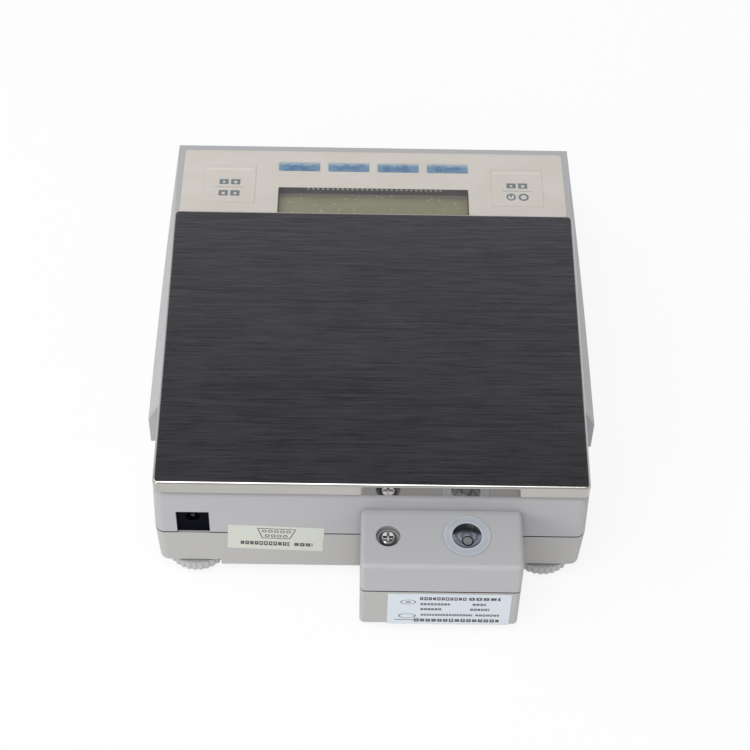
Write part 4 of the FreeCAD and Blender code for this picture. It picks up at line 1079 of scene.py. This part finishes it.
@dataclass(frozen=True)
class FilmFold:
    """Fold of the overlay film that bridges the gap round a key."""

    key: str
    centre: tuple[float, float]
    size: tuple[float, float]
    gap: float = 0.3 * MM
    play: float = 0.015 * MM
    corner: float = 1.0 * MM
    thick: float = 0.12 * MM

    def build(self, plane: PanelFrame, material: bpy.types.Material) -> None:
        """Model the fold.

        Args:
            plane: Plane of the panel.
            material: Finish of the film.
        """
        low = -0.1 * self.thick
        far = self.gap - self.play
        section = [(self.play, -self.thick), (self.play, low), (self.gap / 2, 0.0), (far, low),
                   (far, -self.thick)]
        loops = [plane.ring(self.centre, self.size, reach, self.corner, level) for reach, level in section]
        add_mesh(f"film_fold_{self.key}", loops, True, material)


@dataclass(frozen=True)
class DisplayWindow:
    """Clear sheet over the display, in a dark lining that reaches down to the glass."""

    node: str = "display_window"
    centre: tuple[float, float] = (0.0, -13.0 * MM)
    size: tuple[float, float] = (93.0 * MM, 23.0 * MM)
    wall: float = 0.3 * MM
    depth: float = 3.4 * MM
    sheet: float = 0.9 * MM
    play: float = 0.02 * MM
    corner: float = 0.8 * MM
    bevel: float = 0.12 * MM

    def build(self, plane: PanelFrame, clear: bpy.types.Material, lining: bpy.types.Material) -> None:
        """Model the sheet and its lining in place of the node.

        Args:
            plane: Plane of the panel.
            clear: Finish of the sheet.
            lining: Finish of the lining.
        """
        section = [(self.play, 0.0), (self.wall, 0.0), (self.wall, -self.depth), (self.play, -self.depth)]
        loops = [plane.ring(self.centre, self.size, -inset, self.corner, level) for inset, level in section]
        edging = add_mesh("window_lining", loops, True, lining)
        inset = self.wall + self.play
        section = [(inset, -self.sheet), (inset, -self.bevel), (inset + self.bevel, 0.0)]
        loops = [plane.ring(self.centre, self.size, -side, self.corner, level) for side, level in section]
        pane = add_mesh("window_sheet", loops, False, clear)
        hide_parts(self.node)
        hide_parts(self.node)


# ---------------------------------------------------------------- sub-assemblies

def dress(nodes: Sequence[str], material: bpy.types.Material) -> None:
    """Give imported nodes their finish.

    Args:
        nodes: Names of the nodes.
        material: The finish.
    """
    for name in nodes:
        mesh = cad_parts[name].data
        mesh.materials.clear()
        mesh.materials.append(material)
        LOG.info("dressed %s with %s", name, material.name)


@dataclass
class Housing:
    """Upper and lower housing shells with the rear block's two halves."""

    upper: Colour = (0.432, 0.434, 0.448)
    lower: Colour = (0.44, 0.434, 0.424)
    seam: tuple[float, float] = (33.15 * MM, 34.05 * MM)

    def build(self) -> None:
        """Dress the shells."""
        dress(["upper_housing", "rear_block_cover"], MouldedPlastic("upper_plastic", self.upper).make())
        tray = MouldedPlastic("lower_plastic", self.lower, seam=self.seam).make()
        dress(["lower_housing", "rear_block_base"], tray)


@dataclass
class WeighingPan:
    """Pan, its locating sockets and the rubber buffers that it rests on."""

    def build(self) -> None:
        """Dress the pan and what is under it."""
        dress(["weighing_pan"], PanSteel("pan_steel", "weighing_pan").make())
        dress(["pan_sockets"], PlainMetal("socket_steel", (0.5, 0.5, 0.52)).make())
        dress(["pan_buffers"], Rubber("buffer_rubber").make())


@dataclass
class FrontPanel:
    """Printed overlay, keys, display and the boards behind them."""

    film: Colour = (0.61, 0.572, 0.53)
    large_size: tuple[float, float] = (25.0 * MM, 28.0 * MM)
    large_place: tuple[float, float] = (70.5 * MM, -26.4 * MM)
    small_size: tuple[float, float] = (20.2 * MM, 6.8 * MM)
    small_place: tuple[float, float] = (24.4 * MM, -40.7 * MM)
    small_keys: int = 4

    def build(self) -> None:
        """Dress and model the panel's pieces."""
        plane = PanelFrame()
        dress(["keypad_overlay"], OverlayFilm("overlay_film", self.film).make())
        # painted light: the fold film is 1.4 times lighter than the overlay, to cancel the shade in the
        # folds round the keys
        fold = OverlayFilm("fold_film_lightened", scaled(self.film, 1.4)).make()
        for name, marks, side in (("key_tare", KeyMarks.ZERO, 1), ("key_power", KeyMarks.POWER, -1)):
            dress([name], OverlayFilm(f"{name}_film", self.film, name, marks).make())
            place = (side * self.large_place[0], self.large_place[1])
            FilmFold(name, place, self.large_size).build(plane, fold)
        names = [f"function_key_{index + 1}" for index in range(self.small_keys)]
        for index, name in enumerate(names):
            dress([name], BlueKey(f"{name}_film", name).make())
            place = ((index - (self.small_keys - 1) / 2) * self.small_place[0], self.small_place[1])
            FilmFold(name, place, self.small_size).build(plane, fold)
        plungers = [f"{name}_plunger" for name in ["key_tare", "key_power"] + names]
        dress(plungers, MouldedPlastic("plunger_plastic", (0.5, 0.02, 0.02)).make())
        clear = ClearAcrylic("window_acrylic", (0.85, 0.87, 0.84)).make()
        DisplayWindow().build(plane, clear, WindowLining("lining_plastic", "display_window").make())
        dress(["lcd_glass"], DisplayFilm("display_film", "lcd_glass").make())
        dress(["lcd_contacts"], PlainMetal("contact_tin", (0.75, 0.74, 0.7)).make())
        dress(["lcd_backlight"], MouldedPlastic("backlight_plastic", (0.7, 0.71, 0.65), Sheen.SATIN).make())
        dress(["display_board", "main_board"], CircuitBoard("board_laminate").make())


@dataclass
class RearFittings:
    """Power socket, labels, spirit level and block screw."""

    cream: Colour = (0.6, 0.62, 0.55)
    blue_white: Colour = (0.64, 0.695, 0.75)
    black: Colour = (0.002, 0.002, 0.006)

    def build(self) -> None:
        """Dress the fittings."""
        dress(["dc_jack"], MouldedPlastic("socket_plastic", self.black, specular=0.02).make())
        # painted shade: the nickel pin coloured nearly black, as it looks deep in the socket
        dress(["jack_pin"], PlainMetal("pin_nickel_painted_shade", (0.045, 0.044, 0.043), rough=0.4).make())
        dress(["port_label"], PrintedLabel("port_print", "port_label", LabelKind.PORT, self.cream).make())
        rating = PrintedLabel("rating_print", "rating_label", LabelKind.RATING, self.blue_white)
        dress(["rating_label"], rating.make())
        dress(["level_ring"], RingPlastic("ring_plastic", "level_ring").make())
        dress(["level_vial"], VialFluid("vial_fluid", "level_vial", "level_bubble").make())
        dress(["level_bubble"], Bubble("air_bubble", "level_bubble").make())
        dress(["block_screw"], PlainMetal("screw_chrome", (0.4, 0.39, 0.41), rough=0.12).make())


@dataclass
class Feet:
    """Four levelling feet: wheel, threaded stud, rubber pad and brass insert."""

    count: int = 4
    plastic: Colour = (0.47, 0.47, 0.465)
    pitch: float = 0.00125

    def build(self) -> None:
        """Dress the feet."""
        numbers = range(1, self.count + 1)
        wheel = MouldedPlastic("wheel_plastic", self.plastic, Sheen.SATIN, edge=0.0003).make()
        dress([f"foot_wheel_{number}" for number in numbers], wheel)
        thread = PlainMetal("stud_steel", (0.62, 0.62, 0.64), thread=self.pitch).make()
        dress([f"foot_stud_{number}" for number in numbers], thread)
        dress([f"foot_pad_{number}" for number in numbers], Rubber("foot_rubber").make())
        dress(["foot_inserts"], PlainMetal("insert_brass", (0.72, 0.52, 0.22)).make())


@dataclass
class Mechanism:
    """Load cell, carrier, base plate, leads and fasteners inside the housing."""

    def build(self) -> None:
        """Dress the hidden pieces."""
        cast = PlainMetal("cast_aluminium", (0.7, 0.71, 0.72), rough=0.42, grain=1400.0, depth=0.00003)
        dress(["pan_carrier"], cast.make())
        milled = PlainMetal("milled_aluminium", (0.78, 0.79, 0.8), rough=0.3, stretch=0.1).make()
        dress(["load_cell", "cell_top_spacer", "cell_base_spacer"], milled)
        dress(["strain_gauges"], FlatCable("gauge_film", (0.55, 0.3, 0.08), 0.0006).make())
        plated = PlainMetal("plated_steel", (0.55, 0.56, 0.58), rough=0.35).make()
        dress(["base_plate", "overload_stop"], plated)
        bright = PlainMetal("fastener_steel", (0.7, 0.7, 0.72), rough=0.2).make()
        dress(["carrier_screws", "cell_base_screws", "base_plate_screws", "board_screws",
               "display_board_screws", "case_screws"], bright)
        black = MouldedPlastic("component_plastic", (0.015, 0.015, 0.017), Sheen.SATIN).make()
        dress(["board_parts", "tact_switches"], black)
        cover = MouldedPlastic("lead_cover", (0.05, 0.05, 0.055), Sheen.SATIN).make()
        dress(["power_leads", "cell_lead"], cover)
        dress(["display_ribbon"], FlatCable("ribbon_film", (0.62, 0.6, 0.55), 0.00127).make())


# ---------------------------------------------------------------- studio

@dataclass(frozen=True)
class Softbox:
    """Square lamp that faces the balance."""

    name: str
    place: tuple[float, float, float]
    size: float
    power: float

    def build(self) -> None:
        """Add the lamp."""
        data = bpy.data.lights.new(self.name, "AREA")
        data.shape = "SQUARE"
        data.size = self.size
        data.energy = self.power
        item = bpy.data.objects.new(self.name, data)
        item.location = self.place
        item.visible_camera = False
        item.rotation_euler = (Vector(self.place) - Vector((0, 0, 0.03))).to_track_quat("Z", "Y").to_euler()
        bpy.context.scene.collection.objects.link(item)


@dataclass
class Studio:
    """Pale floor, soft lights and the camera."""

    camera_place: tuple[float, float, float] = (0.00985, 0.61494, 0.82871)
    lens: float = 101.8
    pitch: float = math.radians(52.43)
    yaw: float = math.radians(-1.08)
    roll: float = math.radians(-1.67)
    floor_half: float = 4.0
    floor_glow: float = 0.86
    sky_strength: float = 0.85
    sensor: float = 36.0
    lamps: tuple[Softbox, ...] = (
        Softbox("overhead", (0.2, 0.5, 1.4), 0.8, 9.0),
        Softbox("side_left", (1.0, -0.1, 1.0), 0.8, 3.0),
        Softbox("behind_left", (0.85, 1.0, 0.5), 0.6, 3.8))

    def build(self) -> None:
        """Set the camera, the floor, the lights and the world."""
        self.set_camera()
        self.set_floor()
        for lamp in self.lamps:
            lamp.build()
        self.set_world()
        bpy.context.scene.view_settings.view_transform = "Standard"

    def set_camera(self) -> None:
        """Camera above and behind the balance, looking down at the pan."""
        up = Vector((0, 0, 1))
        turn = Matrix.Rotation(self.yaw, 3, up)
        right = turn @ Vector((-1, 0, 0))
        tilt = Matrix.Rotation(-self.pitch, 3, right)
        forward = tilt @ (turn @ Vector((0, -1, 0)))
        bank = Matrix.Rotation(self.roll, 3, forward)
        pose = Matrix((bank @ right, bank @ (tilt @ up), -forward)).transposed().to_4x4()
        pose.translation = Vector(self.camera_place)
        data = bpy.data.cameras.new("camera")
        data.lens = self.lens
        data.sensor_width = self.sensor
        item = bpy.data.objects.new("camera", data)
        item.matrix_world = pose
        bpy.context.scene.collection.objects.link(item)
        bpy.context.scene.camera = item

    def set_floor(self) -> None:
        """White floor that keeps a soft shadow."""
        half = self.floor_half
        mesh = bpy.data.meshes.new("floor")
        corners = [(-half, -half, 0), (half, -half, 0), (half, half, 0), (-half, half, 0)]
        mesh.from_pydata(corners, [], [(0, 1, 2, 3)])
        floor = bpy.data.objects.new("floor", mesh)
        bpy.context.scene.collection.objects.link(floor)
        graph = Surface("floor_paint")
        grain = graph.noise(graph.place(), (40.0, 40.0, 40.0))
        rays = graph.node("ShaderNodeLightPath", {}, {}).outputs
        seen = Signal(graph, rays["Is Camera Ray"]) | Signal(graph, rays["Is Glossy Ray"])
        seen = seen | Signal(graph, rays["Is Transmission Ray"])
        paint = graph.node("ShaderNodeBsdfPrincipled", {}, {
            "Base Color": graph.mix((0.9, 0.9, 0.9), (0.88, 0.88, 0.88), grain), "Roughness": 0.9,
            "Specular IOR Level": 0.1})
        glow = graph.node("ShaderNodeEmission", {}, {"Color": (1.0, 1.0, 1.0, 1.0), "Strength": 1.0})
        inputs = {0: seen * self.floor_glow, 1: paint.outputs[0], 2: glow.outputs[0]}
        blend = graph.node("ShaderNodeMixShader", {}, inputs)
        graph.node("ShaderNodeOutputMaterial", {}, {"Surface": blend.outputs[0]})
        mesh.materials.append(graph.material)

    def set_world(self) -> None:
        """Pale walls, dimmer behind the camera, with a dark ceiling beyond the keys."""
        world = bpy.data.worlds.new("studio")
        world.use_nodes = True
        graph = Graph(world.node_tree)
        toward = graph.split(graph.node("ShaderNodeTexCoord", {}, {}).outputs["Generated"])
        dim = toward.z.step(0.54, 0.84) * toward.y.step(0.4, -0.25)
        walls = graph.mix((1.0, 1.0, 1.0), (0.75, 0.75, 0.76), toward.y.step(0.1, 0.8))
        sky = graph.mix(walls, (0.035, 0.034, 0.04), dim)
        light = graph.node("ShaderNodeBackground", {}, {"Color": sky, "Strength": self.sky_strength})
        graph.node("ShaderNodeOutputWorld", {}, {"Surface": light.outputs[0]})
        bpy.context.scene.world = world


def main() -> None:
    """Build every sub-assembly."""
    logging.basicConfig(level=logging.INFO)
    for assembly in (Studio(), Housing(), WeighingPan(), FrontPanel(), RearFittings(), Feet(), Mechanism()):
        assembly.build()
        LOG.info("built %s", type(assembly).__name__)


if __name__ == "__main__":
    main()
